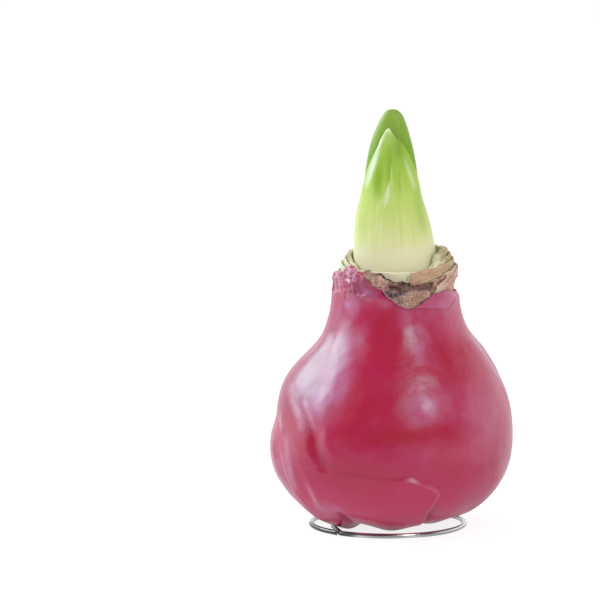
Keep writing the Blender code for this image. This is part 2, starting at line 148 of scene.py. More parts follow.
# Shoot: half width of the spear by height
SHOOT = [
    (81, 15), (99, 14.9), (109, 14.3), (118, 13.2), (127, 11), (134, 10.1),
    (140, 9.3), (146, 8.1), (151, 6.6), (155, 5.1), (158, 3.6), (159.5, 2.1),
]
SHOOT_STEPS = 8
SHOOT_WAIST_X = 0.2
SHOOT_TIP_X = 0.7
FRONT_DEPTH_LOW = 0.70
BACK_DEPTH_LOW = 0.88
DEPTH_HIGH = 0.62
SPEAR_COLUMNS, SPEAR_ROWS = 144, 129
# Half angle that the front leaf wraps round the spear, by height
LEAF_WRAP = [
    (81, 135), (98, 122), (110, 108), (120, 95), (129, 80), (135.5, 67),
    (141, 52), (144.5, 42), (148, 30), (150.5, 18), (152.2, 9), (153.2, 2),
]
LEAF_COLUMNS, LEAF_ROWS = 150, 170
LEAF_EDGE = 0.5
LEAF_RIB_FOOT = 2.5
LEAF_RIB_TIP = 0.9
TIP_LEAN = 12
# Streaks of the front leaf: start and end as (x, height), half width, strength. The crease is shaped into
# the leaf; the glossy and margin streaks are painted highlights, the lush ones deeper green and partly
# painted shade.
LEAF_CREASE = [((-0.2, 152), (-0.5, 132), 0.55, 1)]
GLOSSY_STREAKS = [
    ((-0.4, 133.4), (-2.6, 123.2), 0.30, 0.80), ((-1.4, 131.8), (-3.1, 125.2), 0.18, 0.55),
    ((-0.1, 131), (-1.3, 124.6), 0.22, 0.60), ((0.3, 129.5), (1.3, 123), 0.20, 0.25),
    ((-3.2, 128.2), (-4.1, 123), 0.22, 0.30), ((-4.7, 126), (-5.3, 120.5), 0.22, 0.25),
    ((0.1, 140), (0.4, 131), 0.22, 0.30), ((5.2, 142), (9.2, 130), 0.75, 0.38),
    ((3.6, 136), (5.6, 127), 0.50, 0.15),
]
MARGIN_STREAKS = [((-2.5, 152.4), (-6.2, 142.5), 0.8, 0.82), ((-4.6, 146), (-9.4, 131), 0.95, 0.82)]
LUSH_STREAKS = [
    ((-4.4, 140), (-5.6, 127), 1.7, 0.75), ((-0.7, 147), (-1, 132), 0.8, 0.6),
    ((2, 151.5), (3.4, 141), 2.2, 0.95), ((2.5, 138), (4, 129), 1.8, 0.3),
    ((-9.6, 129), (-13.6, 101), 2.2, 0.12), ((9.4, 131), (12.6, 113), 1.6, 0.4),
]

# Folds of the wax: lines of (azimuth, height)
GROOVE = [
    (-145, 48.6), (-140.5, 46.4), (-135.3, 43.8), (-132.2, 41.1), (-130.4, 38.2), (-128.2, 34.2),
    (-125.3, 31.3), (-122, 28.8), (-117.4, 27),
]
LEDGE = [
    (-117.4, 27), (-107.7, 26.6), (-99, 26.1), (-90.9, 25.6), (-87.3, 25.5), (-83.9, 26),
    (-80.5, 26), (-77, 25), (-70.9, 22.8), (-67.8, 21.4), (-65.2, 19.6), (-65.6, 16.7),
    (-66.7, 14), (-67, 11), (-66.6, 7.8),
]
# Creases: line, depth, half width, whether it gets painted shade inside
CREASES = [
    ([(-147, 51), (-139, 48), (-133.5, 45.5), (-127.5, 42.5)], 0.25, 3.2, False),
    ([(-184, 42), (-166, 40.8), (-155, 38.9), (-150, 36.4), (-146, 32.3), (-142.5, 27.2),
      (-139, 20)], 0.55, 3.4, False),
    ([(-76, 87.3), (-58, 86.6), (-39.5, 85.5), (-30, 87.4), (-19, 89.6)], 0.3, 0.6, True),
    ([(-124, 9), (-123.5, 7), (-122.5, 5.5)], 1.3, 1.6, True),
    ([(-66.5, 12), (-65, 8), (-64, 5.6)], 0.8, 1.1, True),
]
RIDGES = [
    [(-158, 38.5), (-152, 32), (-149.5, 25), (-149, 18), (-150, 11)],
    [(-134, 24), (-132.5, 17), (-133, 11)],
    [(60, 26), (63, 17), (65, 9)],
    [(124, 30), (127, 20), (129, 11)],
    [(10, 22), (7, 14), (5, 9)],
    [(172, 28), (175, 18), (176, 11)],
    [(-168, 36), (-163, 27), (-162, 17)],
]
# Painted highlight and painted shade strokes along the folds of the left flank: line, half width, strength
PALE_STROKES = [
    ([(-163, 54.5), (-152, 49.5), (-144.6, 45.3), (-141.5, 41.8)], 1.7, 0.6),
    ([(-145.1, 51.2), (-139.2, 48), (-133.2, 42.5)], 1.1, 0.6),
    ([(-165.5, 44.6), (-159.5, 39.6)], 1.3, 0.55),
    ([(-152.6, 37.1), (-149, 32.2), (-147.2, 25.4), (-146.5, 17.4)], 1.6, 0.58),
    ([(-135.6, 20.7), (-134.9, 15.8), (-137.6, 10.5)], 1.4, 0.35),
    ([(-160, 25.5), (-163.5, 18.5), (-161, 12.5), (-158.5, 8)], 3, 0.62),
]
DARK_STROKES = [
    ([(-161, 47.4), (-151.9, 43.8), (-144.1, 39.7), (-138, 37.2)], 0.9, 0.8),
    ([(-141.5, 49.4), (-136.8, 46), (-132.2, 41.8)], 0.8, 0.7),
    ([(-161.8, 39), (-156, 35.8), (-150.3, 31.8)], 1.1, 0.6),
    ([(-138, 33), (-133.8, 27), (-133, 21.7)], 2, 0.5),
]
# Swellings of the wax: (azimuth, height, half width in degrees, half height, how far it swells)
SWELLINGS = [(-178, 56.3, 32, 10, 2.5), (-150, 5, 14, 6, 1.3)]
# Soft patches of the wax: (azimuth, height, half width in degrees, half height, strength); these pale ones
# are painted highlights
PALE_PATCHES = [
    (-82, 85, 8, 4.5, 0.34), (-59, 84.5, 13, 4.5, 0.30), (-70, 78, 6, 5.5, 0.32),
    (-72, 72.5, 5.5, 5, 0.38), (-75, 52.5, 10, 6.5, 0.44), (-66, 52, 9, 5.5, 0.3),
    (-42, 48, 17, 13, 0.26), (-128, 66, 8, 9, 0.42), (-124, 58.5, 8, 8, 0.55),
    (-119, 73, 7, 9, 0.22), (-42, 88, 22, 4, 0.42), (-115, 91.5, 9, 3, 0.35),
    (-146, 29, 5, 9, 0.15), (-134, 51, 8, 6, 0.45), (-129, 9.5, 10, 4, 0.45),
    (-134, 87.4, 10, 2.6, 0.75), (-167, 17, 11, 9, 0.75), (-150, 84, 6, 4, 0.3),
    (-100, 89.5, 8, 2.2, 0.3),
]
# Darker crimson patches: painted shade where the wax shows no reflection
DEEP_PATCHES = [
    (-84, 75.5, 4.5, 5, 0.5), (-56, 66, 9, 7, 1), (-42, 65, 10, 6, 0.7), (-31, 61, 9, 6, 0.6),
    (-87, 41.3, 27, 4.2, 1), (-111, 58, 9, 9, 0.7), (-140, 38.8, 7, 3, 0.7),
    (-101, 77, 11, 12, 0.4), (-133, 36.5, 5, 4, 0.8), (-157, 42.5, 3, 4, 0.6),
    (-146, 42.5, 2.5, 3.5, 0.7), (-146, 91, 9, 2.5, 0.6),
]
# Plum patches: plum tone on the crumpled neck, and painted shade where the left lamp falls strongest
PLUM_PATCHES = [
    (-152, 62, 24, 22, 0.75), (-125, 93.8, 11, 4.4, 1.1), (-113, 92.4, 9, 2.3, 1),
    (-160, 94, 14, 6, 0.45),
]

# Stand: foot ring with a ground free end, arm that leaves it, spike
WIRE_RADIUS = 0.95
WIRE_SIDES = 24
FOOT_RADIUS = 29.2
FOOT_CENTRE_X = -0.9
FREE_END = -130.5
WEDGE_TURN = 4.4
WEDGE_TIP_SHARE = 0.12
DEPARTURE = -126
ARM_BEND = 3
ARM_TURN = 44
ARM_STRAIGHT = 13
ARM_TARGET = (-2.5, 2.8)
SPIKE_BEND = 3.2
FOOT_STEPS, ARM_BEND_STEPS, CURL_STEPS, SPIKE_BEND_STEPS, STRAIGHT_STEPS = 180, 14, 40, 12, 8
# Below this share of level heading, the wire counts as upright
LEVEL_ENOUGH = 0.05

# The camera looks a little down on the object from the front, which stands right of the middle.
VIEW_CENTRE = (-34.4, 0, 86.85)
VIEW_DISTANCE = 3000
VIEW_ELEVATION = 8.5
VIEW_WIDTH = 228.1
VIEW_DEPTH = 20
FRONT = -90
# Soft lamps, with sizes in metres: (name, azimuth, elevation, distance, width, height, level, tint)
LAMPS = [
    ("left_box", 163, 34, 0.8, 0.98, 0.54, 2.66, (0.62, 0.86, 1)),
    ("left_core_box", 157, 33, 0.78, 0.46, 0.4, 4.4, (1, 1, 0.82)),
    ("front_right_box", -57.5, 37.5, 0.9, 0.31, 0.36, 7.6, (1, 1, 0.92)),
]
LAMP_TARGET = (0, 0, 0.06)
EVEN_LIGHT = 0.75
FLOOR_REACH = 6
# Glow that shows the table white, and the camera's share of it; the rest shows the shadow
TABLE_GLOW, GLOW_SHARE = 1.2, 0.7
# Table in reflections, dim far in front and brightest behind and at the right:
# (axis, low, high, level at low, level at high)
REFLECTED_LEVELS = [
    ("Y", -240, -120, 0.1, 0.6), ("Y", -50, 60, 0, 1.1), ("X", 60, 140, 0, 1.1),
    ("X", -200, -120, 1, 0),
]


# ---- numbers ----

def ease(low, high, value):
    """Smooth step from 0 at low to 1 at high."""
    t = np.clip((value - low) / (high - low), 0, 1)
    return t * t * (3 - 2 * t)


def window(low, high, soft, value):
    """1 between low and high, falling to 0 over a soft width outside."""
    return ease(low - soft, low, value) * (1 - ease(high, high + soft, value))


def bell(value, width):
    """1 at 0, falling softly on both sides."""
    return np.exp(-(value / width) ** 2)


def swell(along, start, span, power):
    """Fades in and out along a line."""
    return np.sin(np.pi * np.clip(start + span * along, 0, 1)) ** power


def turn_from(centre, azimuth):
    """Degrees round from a centre, from -180 to 180."""
    return (azimuth - centre + 180) % 360 - 180


def unrolled(azimuth):
    """Azimuths from -200 to 160, which keep the left side in one stretch."""
    return (azimuth + 200) % 360 - 200


def around(points, azimuth):
    """Value at each azimuth, eased between the points of a closed round."""
    knots = np.array(points + [(points[0][0] + 360, points[0][1])], dtype=float)
    turned = (azimuth - knots[0, 0]) % 360 + knots[0, 0]
    index = np.clip(np.searchsorted(knots[:, 0], turned, side="right") - 1, 0, len(knots) - 2)
    share = ease(knots[index, 0], knots[index + 1, 0], turned)
    return knots[index, 1] + (knots[index + 1, 1] - knots[index, 1]) * share


def smooth_line(points, steps):
    """Catmull-Rom curve through points, with that many steps in each span."""
    points = np.array(points, dtype=float)
    padded = np.vstack([points[:1], points, points[-1:]])
    line = []
    for p, q, r, s in zip(padded, padded[1:], padded[2:], padded[3:]):
        for step in range(steps):
            t = step / steps
            line.append(0.5 * (2 * q + (r - p) * t + (2 * p - 5 * q + 4 * r - s) * t ** 2
                               + (3 * q - p - 3 * r + s) * t ** 3))
    line.append(points[-1])
    return np.array(line)


def lengths_along(line):
    """Distance of each point of a line from its start."""
    return np.concatenate([[0], np.cumsum(np.linalg.norm(np.diff(line, axis=0), axis=1))])


def evenly(line, count):
    """The line again, as that many points at even distances."""
    lengths = lengths_along(line)
    places = np.linspace(0, lengths[-1], count)
    return np.stack([np.interp(places, lengths, values) for values in line.T], axis=1)


def value_noise(points, size, seed):
    """Smooth noise from -1 to 1 at each point, with lumps of a size."""
    scaled = np.asarray(points, dtype=float) / size + 37.3
    cell = np.floor(scaled).astype(np.int64)
    part = scaled - cell
    fade = part * part * part * (part * (part * 6 - 15) + 10)
    total = np.zeros(scaled.shape[:-1])
    for corner in product((0, 1), repeat=3):
        at = cell + np.array(corner)
        key = at[..., 0] * 73856093 ^ at[..., 1] * 19349663 ^ at[..., 2] * 83492791 ^ seed * 2654435761
        key = (key ^ (key >> 13)) * 1274126177 & 0xFFFFFFFF
        key = (key ^ (key >> 16)) & 0xFFFF
        weight = np.prod(np.where(np.array(corner) == 1, fade, 1 - fade), axis=-1)
        total += (key / 32767.5 - 1) * weight
    return total


def fractal(points, size, seed, octaves=3):
    """Sum of noises, each half as large and half as strong as the last."""
    total = sum(value_noise(points, size / 2 ** octave, seed + octave) / 2 ** octave
                for octave in range(octaves))
    return total / (2 - 0.5 ** (octaves - 1))


def ridged(points, size, seed):
    """Noise with sharp creases: 1 on a crease, 0 far from it."""
    return 1 - np.minimum(1, 2.2 * np.abs(value_noise(points, size, seed)))


def polar(centre_x, radius, azimuth, height):
    """Points round an upright axis, from arrays that match in shape."""
    angle = np.radians(azimuth)
    parts = (centre_x + radius * np.cos(angle), radius * np.sin(angle), height)
    return np.stack(np.broadcast_arrays(*parts), axis=-1)


def grid_normals(grid):
    """Unit normals of a grid of points (rows, columns) whose last column joins its first."""
    across = np.roll(grid, -1, axis=1) - np.roll(grid, 1, axis=1)
    normal = np.cross(np.gradient(grid, axis=0), across)
    return normal / np.maximum(np.linalg.norm(normal, axis=-1, keepdims=True), 1e-9)


def soft_patches(azimuth, height, spots):
    """Strength of the strongest patch at each place; each falls off softly."""
    total = 0
    for centre, middle, half_turn, half_height, strength in spots:
        away = (turn_from(centre, azimuth) / half_turn) ** 2 + ((height - middle) / half_height) ** 2
        total = np.maximum(total, strength * np.exp(-away ** 1.4))
    return total


def line_distance(points, normals, line):
    """(distance, side, share along) of each point from a line of points in space.

    side is the signed distance, above 0 on the left of the line seen from outside.
    """
    best = np.full(points.shape[:-1], 1e9)
    side = np.zeros_like(best)
    along = np.zeros_like(best)
    lengths = lengths_along(line)
    for a, b, start, end in zip(line, line[1:], lengths, lengths[1:]):
        step = b - a
        offset = points - a
        share = np.clip(offset @ step / (step @ step), 0, 1)
        distance = np.linalg.norm(offset - share[..., None] * step, axis=-1)
        nearer = distance < best
        turn = np.einsum("...i,...i->...", np.cross(step, offset), normals)
        best = np.where(nearer, distance, best)
        side = np.where(nearer, distance * np.sign(turn), side)
        along = np.where(nearer, (start + share * (end - start)) / lengths[-1], along)
    return best, side, along


# ---- meshes ----

def new_object(name, data):
    """Object of that data, in the scene."""
    item = bpy.data.objects.new(name, data)
    bpy.context.scene.collection.objects.link(item)
    return item


def add_piece(name, node, slot, grid, material, closed=True, caps=(), more_faces=(), **marks):
    """Mesh from a grid of points (rows, columns, 3) in millimetres, riding on the root body.

    The last column joins the first; closed joins the last row to the first; caps are points
    that close the first and the last row by fans. Marks are numbers stored at its points.
    """
    rows, columns = grid.shape[:2]
    points = grid.reshape(-1, 3)
    row, column = np.meshgrid(np.arange(rows if closed else rows - 1), np.arange(columns), indexing="ij")
    below = (row + 1) % rows
    beside = (column + 1) % columns
    faces = np.stack([row * columns + column, row * columns + beside,
                      below * columns + beside, below * columns + column], axis=-1)
    faces = faces.reshape(-1, 4).tolist() + list(more_faces)
    if caps:
        points = np.vstack([points, np.array(caps)])
        first, last = rows * columns, rows * columns + 1
        end = (rows - 1) * columns
        for side in range(columns):
            next_side = (side + 1) % columns
            faces.append([first, next_side, side])
            faces.append([last, end + side, end + next_side])
    mesh = bpy.data.meshes.new(name)
    mesh.from_pydata((points * MM).tolist(), [], faces)
    for key, values in marks.items():
        flat = np.broadcast_to(values, (rows, columns)).astype(float).reshape(-1)
        flat = np.concatenate([flat, np.full(len(points) - len(flat), flat[-1])])
        mesh.attributes.new(key, "FLOAT", "POINT").data.foreach_set("value", flat)
    mesh.shade_smooth()
    mesh.materials.append(material)
    piece = new_object(name, mesh)
    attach(piece, "root")
    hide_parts(node)


def both_faces(outer, inner):
    """Values round a plate: its outer face backwards, then its inner face."""
    return np.concatenate([outer[:, ::-1], inner], axis=1)


def add_plate(name, node, slot, outer, inner, material, **marks):
    """Piece between an outer and an inner face, closed all round."""
    rows, columns = outer.shape[:2]
    ends = []
    for row in (0, rows - 1):
        start = row * 2 * columns
        end = start + 2 * columns - 1
        for column in range(columns - 1):
            quad = (start + column, start + column + 1, end - 1 - column, end - column)
            ends.append(quad if row else quad[::-1])
    for key, values in marks.items():
        values = np.broadcast_to(values, (rows, columns))
        marks[key] = both_faces(values, values)
    add_piece(name, node, slot, both_faces(outer, inner), material, closed=False, more_faces=ends, **marks)


# ---- materials ----

def colour(red, green, blue):
    """Linear colour from screen values out of 255."""
    shares = (value / 255 for value in (red, green, blue))
    return (*(s / 12.92 if s <= 0.04045 else ((s + 0.055) / 1.055) ** 2.4 for s in shares), 1)


class Graph:
    """Nodes of a new material or world, with short calls for the kinds used here."""

    def __init__(self, name, kind="materials"):
        self.owner = getattr(bpy.data, kind).new(name)
        self.owner.use_nodes = True
        self.nodes = self.owner.node_tree.nodes
        self.links = self.owner.node_tree.links

    @cached_property
    def place(self):
        """Place on the object, in millimetres."""
        metres = self.node("TexCoord", {}, "Object")
        return self.node("VectorMath", {0: metres, "Scale": 1 / MM}, operation="SCALE")

    def put(self, socket, value):
        """Link a socket, or set its value."""
        if isinstance(value, bpy.types.NodeSocket):
            self.links.new(value, socket)
        elif value is not None:
            socket.default_value = value

    def set(self, name="Principled BSDF", **values):
        """Inputs of a node that is there from the start, with underscores for spaces."""
        for key, value in values.items():
            self.put(self.nodes[name].inputs[key.replace("_", " ")], value)
        return self.owner

    def node(self, kind, inputs, output=0, **settings):
        """Output of a new node, with its settings made and its inputs linked or set."""
        node = self.nodes.new("ShaderNode" + kind)
        for key, value in settings.items():
            setattr(node, key, value)
        for key, value in inputs.items():
            self.put(node.inputs[key], value)
        return node.outputs[output]

    def value(self, operation, first, second=0, clamp=False):
        """Maths on two numbers."""
        return self.node("Math", {0: first, 1: second}, operation=operation, use_clamp=clamp)

    def times(self, first, second):
        """Product of two numbers."""
        return self.value("MULTIPLY", first, second)

    def attribute(self, name):
        """A number stored on the mesh."""
        return self.node("Attribute", {}, "Fac", attribute_name=name)

    def combine(self, x, y, z):
        """Vector of three numbers."""
        return self.node("CombineXYZ", {0: x, 1: y, 2: z})

    def part(self, axis, vector):
        """One of the three numbers of a vector."""
        return self.node("SeparateXYZ", {0: vector}, axis)

    def noise(self, size, detail=2, rough=0.5, warp=0, at=None):
        """Cloudy noise from 0 to 1, with lumps of a size in millimetres."""
        return self.node("TexNoise", {"Vector": self.place if at is None else at, "Scale": 1 / size,
                                      "Detail": detail, "Roughness": rough, "Distortion": warp}, "Fac")

    def drawn(self, across, share, along, along_share, layer, *settings):
        """Noise drawn out by shares of two numbers; layers differ in pattern."""
        at = self.combine(self.times(across, share), self.times(along, along_share), layer)
        return self.noise(1, *settings, at=at)

    def cells(self, size, at):
        """Distance to the nearest edge in a pattern of cells of a size in millimetres."""
        return self.node("TexVoronoi", {"Vector": at, "Scale": 1 / size}, "Distance",
                         feature="DISTANCE_TO_EDGE")

    def ramp(self, value, stops):
        """Colour by a value, between stops of (value, red, green, blue)."""
        colours = self.node("ValToRGB", {"Fac": value}, "Color")
        elements = colours.node.color_ramp.elements
        while len(elements) < len(stops):
            elements.new(0.5)
        for element, (place, *shade) in zip(elements, stops):
            element.position = place
            element.color = colour(*shade)
        return colours

    def span(self, value, low, high, start=0, end=1, curve="SMOOTHSTEP"):
        """Value mapped smoothly from low..high to start..end."""
        return self.node("MapRange", {"Value": value, "From Min": low, "From Max": high, "To Min": start,
                                      "To Max": end}, "Result", interpolation_type=curve)

    def mix(self, share, first, second, blend="MIX"):
        """Colour between two colours."""
        return self.node("Mix", {"Factor": share, 6: first, 7: second}, 2, data_type="RGBA",
                         blend_type=blend)

    def tint(self, base, **shades):
        """Colour with others over it, each as strong as the attribute of its name."""
        for key, shade in shades.items():
            base = self.mix(self.attribute(key), base, colour(*shade))
        return base

    def bump(self, height, depth, before=None):
        """Normal from a height of 0 to 1 and its depth in millimetres."""
        return self.node("Bump", {"Height": height, "Distance": depth * MM, "Normal": before}, "Normal")


def wax_material():
    """Raspberry wax: cloudy, paler on folds as painted highlight, with chalky veins where it is crumpled;
    painted highlights and painted shade in patches and strokes, painted shade in creases, and painted
    light towards the bottom.
    """
    g = Graph("raspberry_wax")
    height = g.part("Z", g.place)
    deep = colour(177, 4, 56)
    rosy = colour(180, 22, 78)
    cloud = g.noise(26, 3, 0.5, 0.6)
    base = g.mix(g.span(cloud, 0.42, 0.68), deep, rosy)
    drift = g.noise(7, 4, 0.6, 0.8)
    base = g.mix(g.span(drift, 0.56, 0.8, 0, 0.3), base, colour(192, 60, 108))
    # Lighter towards the bottom: painted light that makes up for the shade under the bulb
    base = g.mix(g.span(height, 30, 6, 0, 0.85), base, colour(204, 30, 86))
    crumple = g.attribute("crumple")
    blotch = g.span(g.noise(5.5, 3, 0.6, 0.5), 0.42, 0.62)
    magenta = g.mix(blotch, colour(190, 36, 80), colour(160, 40, 76))
    base = g.mix(g.times(crumple, 0.8), base, magenta)
    # Over the base: plum tone that is partly painted shade, painted highlights in pale patches, painted
    # shade in deep crimson patches, painted highlights along fold crests
    base = g.tint(base, plum=(146, 14, 66), bloom=(190, 122, 166), deep=(174, 0, 44), fold=(204, 96, 130))
    # Painted shade in grooves, creases and along the ledge
    base = g.mix(g.times(g.attribute("crevice"), 0.7), base, colour(164, 0, 44))
    # Painted highlights: glint on the ledge's lip and pale strokes on the folds of the left flank
    base = g.tint(base, scuff=(216, 160, 182))
    # chalky veins on the crumpled part of the neck
    push = g.combine(g.noise(3.5), g.noise(4.1), g.noise(3))
    push = g.node("VectorMath", {0: push, "Scale": 4.5}, operation="SCALE")
    warp = g.node("VectorMath", {0: g.place, 1: push}, operation="ADD")
    veins = g.span(g.cells(4.6, warp), 0.012, 0.09, 0.85, 0)
    fine = g.span(g.cells(2.2, warp), 0.01, 0.1, 0.45, 0)
    veins = g.value("MAXIMUM", veins, fine)
    patch = g.span(g.noise(4.5, 3, 0.6, 1), 0.38, 0.58, 0.1, 0.9)
    pink = g.value("SUBTRACT", crumple, g.attribute("plum"), True)
    veins = g.times(g.times(veins, patch), pink)
    base = g.mix(g.times(g.times(patch, crumple), 0.12), base, colour(214, 140, 165))
    base = g.mix(veins, base, colour(232, 194, 206))
    normal = g.bump(g.noise(2.6, 2, 0.5), 0.09)
    normal = g.bump(g.noise(1.1, 2, 0.5), 0.012, normal)
    rough = g.span(g.noise(9, 3, 0.5), 0.3, 0.7, 0.285, 0.34)
    return g.set(Base_Color=base, Roughness=rough, Normal=normal, Subsurface_Weight=0.12,
                 Subsurface_Radius=(1, 0.25, 0.3), Subsurface_Scale=0.0012,
                 Specular_IOR_Level=1, Specular_Tint=(0.42, 0.82, 1, 1),
                 Sheen_Weight=0.08, Sheen_Roughness=0.4, Sheen_Tint=(0.45, 0.5, 1, 1))


def scale_material():
    """Cut scale: pale green, with tan fibres where it has dried, a painted highlight on the outer scale's
    lower rim and painted shadow under it.
    """
    g = Graph("bulb_scale")
    turn = g.attribute("turn")
    height = g.part("Z", g.place)
    face = g.mix(g.noise(3, 3, 0.6), colour(218, 214, 186), colour(200, 200, 160))
    face = g.tint(face, shade=(178, 178, 128), cream=(232, 226, 196))
    streak = g.drawn(turn, 1.6, height, 0.25, 0, 3, 0.6)
    face = g.mix(g.span(streak, 0.55, 0.75, 0, 0.4), face, colour(196, 176, 132))
    fibre = g.drawn(turn, 0.3, g.attribute("level"), 1.7, 0, 4, 0.7, 0.6)
    dry = g.ramp(fibre, [(0.26, 140, 92, 70), (0.4, 182, 140, 114), (0.56, 204, 168, 140),
                         (0.74, 220, 196, 162)])
    ragged = g.times(g.value("SUBTRACT", g.noise(1.4, 3, 0.7), 0.5), 1.1)
    ragged = g.value("ADD", g.attribute("brown"), ragged)
    grain = g.noise(0.8, 3, 0.75, 0.6)
    dry = g.mix(g.span(grain, 0.54, 0.68, 0, 0.55), dry, colour(128, 74, 56))
    base = g.mix(g.span(ragged, 0.35, 0.6), face, dry)
    # painted highlight on the crescent's rim and painted shadow under it
    base = g.tint(base, pale=(216, 200, 158), dark=(74, 36, 30))
    normal = g.bump(fibre, 0.3)
    return g.set(Base_Color=base, Roughness=g.span(fibre, 0.3, 0.7, 0.5, 0.75), Normal=normal,
                 Subsurface_Weight=0.1, Subsurface_Radius=(0.8, 0.9, 0.4), Subsurface_Scale=0.001)


def tunic_material():
    """Dry papery tunic: pinkish tan with brown flakes, cracks and torn edges, painted shadow lines, and a
    painted highlight on the lit torn edge of the flap.
    """
    g = Graph("dry_tunic")
    turn = g.attribute("turn")
    height = g.part("Z", g.place)
    broad = g.noise(4, 4, 0.65, 0.6)
    base = g.ramp(broad, [(0.28, 188, 140, 120), (0.44, 222, 178, 158), (0.6, 234, 192, 174),
                          (0.76, 238, 214, 190)])
    fibre = g.drawn(turn, 0.45, height, 1.3, 3, 4, 0.7, 0.6)
    base = g.mix(g.span(fibre, 0.52, 0.74, 0, 0.45), base, colour(160, 110, 90))
    reddish = g.span(g.noise(2.4, 4, 0.65, 1), 0.4, 0.62, 0.1, 1)
    base = g.mix(g.times(g.attribute("red"), reddish), base, colour(136, 62, 56))
    tan = g.mix(g.noise(1.6, 4, 0.7, 0.8), colour(140, 94, 78), colour(190, 148, 126))
    base = g.mix(g.attribute("tan"), base, tan)
    flakes = g.noise(1.2, 4, 0.75, 1.2)
    base = g.mix(g.span(flakes, 0.55, 0.66, 0, 0.6), base, colour(96, 54, 46))
    base = g.mix(g.span(flakes, 0.44, 0.32, 0, 0.6), base, colour(228, 206, 184))
    grain = g.noise(0.75, 3, 0.8, 0.8)
    base = g.mix(g.span(grain, 0.56, 0.66, 0, 0.75), base, colour(112, 56, 46))
    base = g.mix(g.span(grain, 0.47, 0.36, 0, 0.7), base, colour(240, 214, 196))
    stain = g.span(g.noise(1.1, 3, 0.7, 0.8), 0.62, 0.5, 0.65, 1)
    base = g.mix(g.times(g.attribute("stain"), stain), base, colour(58, 46, 70))
    # torn edges paler, partly painted highlight; dark lines are painted shadow, apart from the crack
    base = g.tint(base, cream=(222, 202, 176), torn=(222, 200, 176), dark=(66, 30, 28))
    relief = g.value("ADD", g.times(fibre, 0.6), g.times(flakes, -0.8))
    normal = g.bump(relief, 0.7)
    return g.set(Base_Color=base, Roughness=g.span(broad, 0.3, 0.7, 0.6, 0.82), Normal=normal)


def leaf_material(name, stops):
    """Leaf: pale at its foot and green at its tip, with fine veins along it, painted highlight streaks and
    deeper green streaks that are partly painted shade.
    """
    g = Graph(name)
    across = g.attribute("across")
    height = g.part("Z", g.place)
    wander = g.times(g.value("SUBTRACT", g.noise(7, 3, 0.5), 0.5), 9)
    ragged = g.drawn(across, 0.9, height, 0.04, 9, 3, 0.6)
    wander = g.value("ADD", wander, g.times(g.value("SUBTRACT", ragged, 0.5), 10))
    raised = g.span(g.value("ADD", height, wander), SEAT, SHOOT_TIP, curve="LINEAR")
    base = g.ramp(raised, stops)
    veins = g.drawn(across, 1.5, height, 0.03, 0, 3, 0.6)
    wide = g.drawn(across, 0.35, height, 0.07, 5, 2, 0.5, 0.5)
    veined = g.times(g.span(veins, 0.4, 0.75, 0, 0.26), g.span(height, 100, 122, 0.2, 1))
    base = g.mix(veined, base, g.mix(1, base, colour(220, 228, 180), "MULTIPLY"))
    paler = g.mix(0.5, base, colour(226, 232, 186))
    base = g.mix(g.span(wide, 0.52, 0.78, 0, 0.3), base, paler)
    # deeper green streaks, partly painted shade, and pale streaks that are painted highlights
    base = g.tint(base, lush=(118, 162, 24), pale=(234, 238, 222))
    normal = g.bump(veins, 0.1)
    return g.set(Base_Color=base, Roughness=g.span(wide, 0.3, 0.7, 0.30, 0.42), Normal=normal,
                 Subsurface_Weight=0.15, Subsurface_Radius=(0.7, 1, 0.3), Subsurface_Scale=0.0015,
                 Specular_IOR_Level=0.3)


def steel_material():
    """Polished steel wire, with faint drawing marks, and painted dark reflections and painted highlights
    on its foot ring.
    """
    g = Graph("polished_steel")
    along = g.attribute("along")
    scratch = g.drawn(along, 0.08, g.attribute("turn"), 1, 0, 3, 0.6)
    tint = g.mix(g.noise(6, 2, 0.5), colour(206, 207, 208), colour(178, 181, 186))
    # painted dark reflections and painted highlights on the foot ring
    tint = g.tint(tint, stain=(84, 85, 84), bright=(240, 240, 238))
    return g.set(Base_Color=tint, Metallic=1, Roughness=g.span(scratch, 0.3, 0.7, 0.2, 0.3),
                 Normal=g.bump(scratch, 0.01))


def flesh_material():
    """Moist flesh of the bulb, which only shows in the gaps of the neck."""
    g = Graph("bulb_flesh")
    base = g.mix(g.noise(3, 3, 0.6), colour(206, 202, 158), colour(170, 168, 112))
    return g.set(Base_Color=base, Roughness=g.span(g.noise(2), 0.3, 0.7, 0.45, 0.6),
                 Normal=g.bump(g.noise(1.2, 3, 0.6), 0.15))


# ---- bulb and neck ----

def bulb_centre_x(height):
    """The bulb leans: its belly is left of its neck."""
    shoulder = (NECK_X + BELLY_LEAN) * ease(24, 66, height)
    return shoulder - BELLY_LEAN * ease(68, SEAT, height)


def wax_profile():
    """The bulb's even half outline as points (radius, height) close together, from the top down."""
    return smooth_line([(share * BELLY, height) for share, height in OUTLINE], OUTLINE_STEPS)


def neck_radius(height):
    """Outside radius of the wax on the neck."""
    line = wax_profile()
    upper = line[line[:, 1] > NECK_BASE - 20][::-1]
    return np.interp(height, upper[:, 1], upper[:, 0])


def lobe_drop(azimuth, radius, height):
    """How far the wax hangs below its even underside."""
    drop = 0
    for centre, half_width, depth in LOBES:
        drop = drop + depth * bell(turn_from(centre, azimuth), half_width)
    return drop * bell(radius - LOBE_RADIUS, LOBE_SPREAD) * (1 - ease(6.5, 11, height))


def bulb_outline(distance, count):
    """The half outline below the neck, moved inwards by a distance."""
    line = wax_profile()
    along = np.gradient(line, axis=0)
    along /= np.linalg.norm(along, axis=1, keepdims=True)
    moved = line + distance * np.stack([along[:, 1], -along[:, 0]], axis=1)
    return evenly(moved[moved[:, 1] < NECK_BASE], count)


def wax_azimuths():
    """Azimuths round the wax, closest together on its folded side."""
    return np.concatenate([np.linspace(first, last, columns, endpoint=False)
                           for first, last, columns in WAX_COLUMNS])


